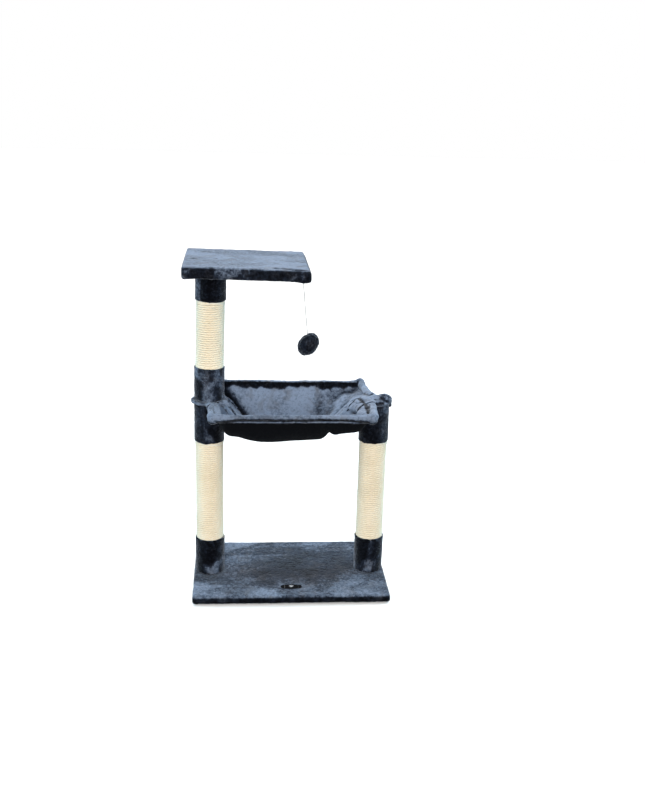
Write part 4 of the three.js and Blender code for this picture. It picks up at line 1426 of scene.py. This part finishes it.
def makeToyBall():
    low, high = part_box("toy_ball_cover")
    middle = (low + high) / 2
    turn = Matrix.Rotation(math.radians(-ballLook["turn"] - 5.8), 4, "Y")
    radii = (ballLook["long"], ballLook["short"], ballLook["short"])
    points, faces = ball(middle, radii, turn, steps=44)
    toyBall = makePiece("toyBall", points, faces)
    faceOut(toyBall)
    p, n = pointsOf(toyBall), normalsOf(toyBall)
    away = p - np.array(middle)
    # four panels sewn together along the egg's length
    local = away @ np.array(turn.to_3x3())
    angle = np.arctan2(local[:, 2], local[:, 1])
    seam = np.abs((angle / (math.pi / 2) + 0.3) % 1 - 0.5) * math.pi / 2
    across = seam * np.hypot(local[:, 1], local[:, 2])
    push = -1.5 * mm * np.exp(-(across / (1.8 * mm)) ** 2)
    stringHole = np.linalg.norm(p - np.array(endMiddles("toy_string")[0]), axis=1)
    push = push - 2.0 * mm * np.exp(-(stringHole / (7 * mm)) ** 2)
    setPoints(toyBall, p + n * push[:, None])
    ruffle(toyBall, 1.1 * mm, 6 * mm, 0.5 * mm, 91, 0.9 * mm, 18 * mm)
    setNapAndShading(toyBall, 0.12 + napBlotches(pointsOf(toyBall), 7 * mm, 96, 0.36))
    settle(toyBall, "toy_ball", "plush", "toy_ball_cover")


makeToyBall()
print("toy made")


# floor, light

studio = {
    "floor": 0.90, "skyTop": 0.60, "skySide": 0.22, "skyLow": 0.02, "sun": 3.8, "sunSpread": 75,
    "sunTurn": (-32, 8), "aim": (0, 0, 0.45), "front": 74, "frontPlace": (-0.3, -2.6, 1.25),
    "frontSize": (0.9, 0.9), "frontColour": (1, 0.98, 0.95),
    "rim": 30, "rimPlace": (2.1, 0.5, 0.9), "rimSize": (0.8, 1.6), "rimColour": (0.38, 0.76, 1.0),
}


def areaLight(name, place, size, power, colour):
    data = bpy.data.lights.new(name, "AREA")
    data.shape = "RECTANGLE"
    data.size, data.size_y = size
    data.energy = power
    data.color = colour
    light = bpy.data.objects.new(name, data)
    light.location = place
    light.rotation_euler = (Vector(studio["aim"]) - Vector(place)).to_track_quat("-Z", "Y").to_euler()
    scene.collection.objects.link(light)


def makeSky():
    # white to look at, with its light coming mostly from above
    world = bpy.data.worlds.new("studio")
    world.use_nodes = True
    tree = world.node_tree
    tree.nodes.clear()
    way = addNode(tree, "ShaderNodeTexCoord").outputs["Generated"]
    height = addNode(tree, "ShaderNodeSeparateXYZ", {0: way}).outputs[2]
    place = addNode(tree, "ShaderNodeMapRange", {0: height, 1: -1.0, 2: 1.0}).outputs[0]
    stops = [(at, (studio[name],) * 3) for at, name in ((0.45, "skyLow"), (0.55, "skySide"), (0.9, "skyTop"))]
    soft = addNode(tree, "ShaderNodeBackground", {0: colourRamp(tree, place, stops)})
    white = addNode(tree, "ShaderNodeBackground", {0: (1, 1, 1, 1), 1: 1.0})
    seen = addNode(tree, "ShaderNodeLightPath").outputs["Is Camera Ray"]
    both = addNode(tree, "ShaderNodeMixShader", {0: seen, 1: soft.outputs[0], 2: white.outputs[0]})
    out = addNode(tree, "ShaderNodeOutputWorld", {0: both.outputs[0]})
    out.is_active_output = True
    scene.world = world


def makeStudio():
    floor = makePiece("floor", [(-15, -15, 0), (15, -15, 0), (15, 15, 0), (-15, 15, 0)], [[0, 1, 2, 3]])
    material, tree, shader = newMaterial("floor")
    setInputs(tree, shader, {"Base Color": (*[studio["floor"]] * 3, 1), "Roughness": 0.8})
    floor.data.materials.append(material)
    floor.visible_diffuse = False
    makeSky()
    sun = bpy.data.objects.new("topLight", bpy.data.lights.new("topLight", "SUN"))
    sun.data.energy = studio["sun"]
    sun.data.angle = math.radians(studio["sunSpread"])
    sun.rotation_euler = (*[math.radians(turn) for turn in studio["sunTurn"]], 0)
    scene.collection.objects.link(sun)
    areaLight("frontLight", studio["frontPlace"], studio["frontSize"], studio["front"], studio["frontColour"])
    x, y, z = studio["rimPlace"]
    for side in (-1, 1):
        areaLight("rimLight", (side * x, y, z), studio["rimSize"], studio["rim"], studio["rimColour"])


makeStudio()
print("studio made")

bpy.context.view_layer.update()
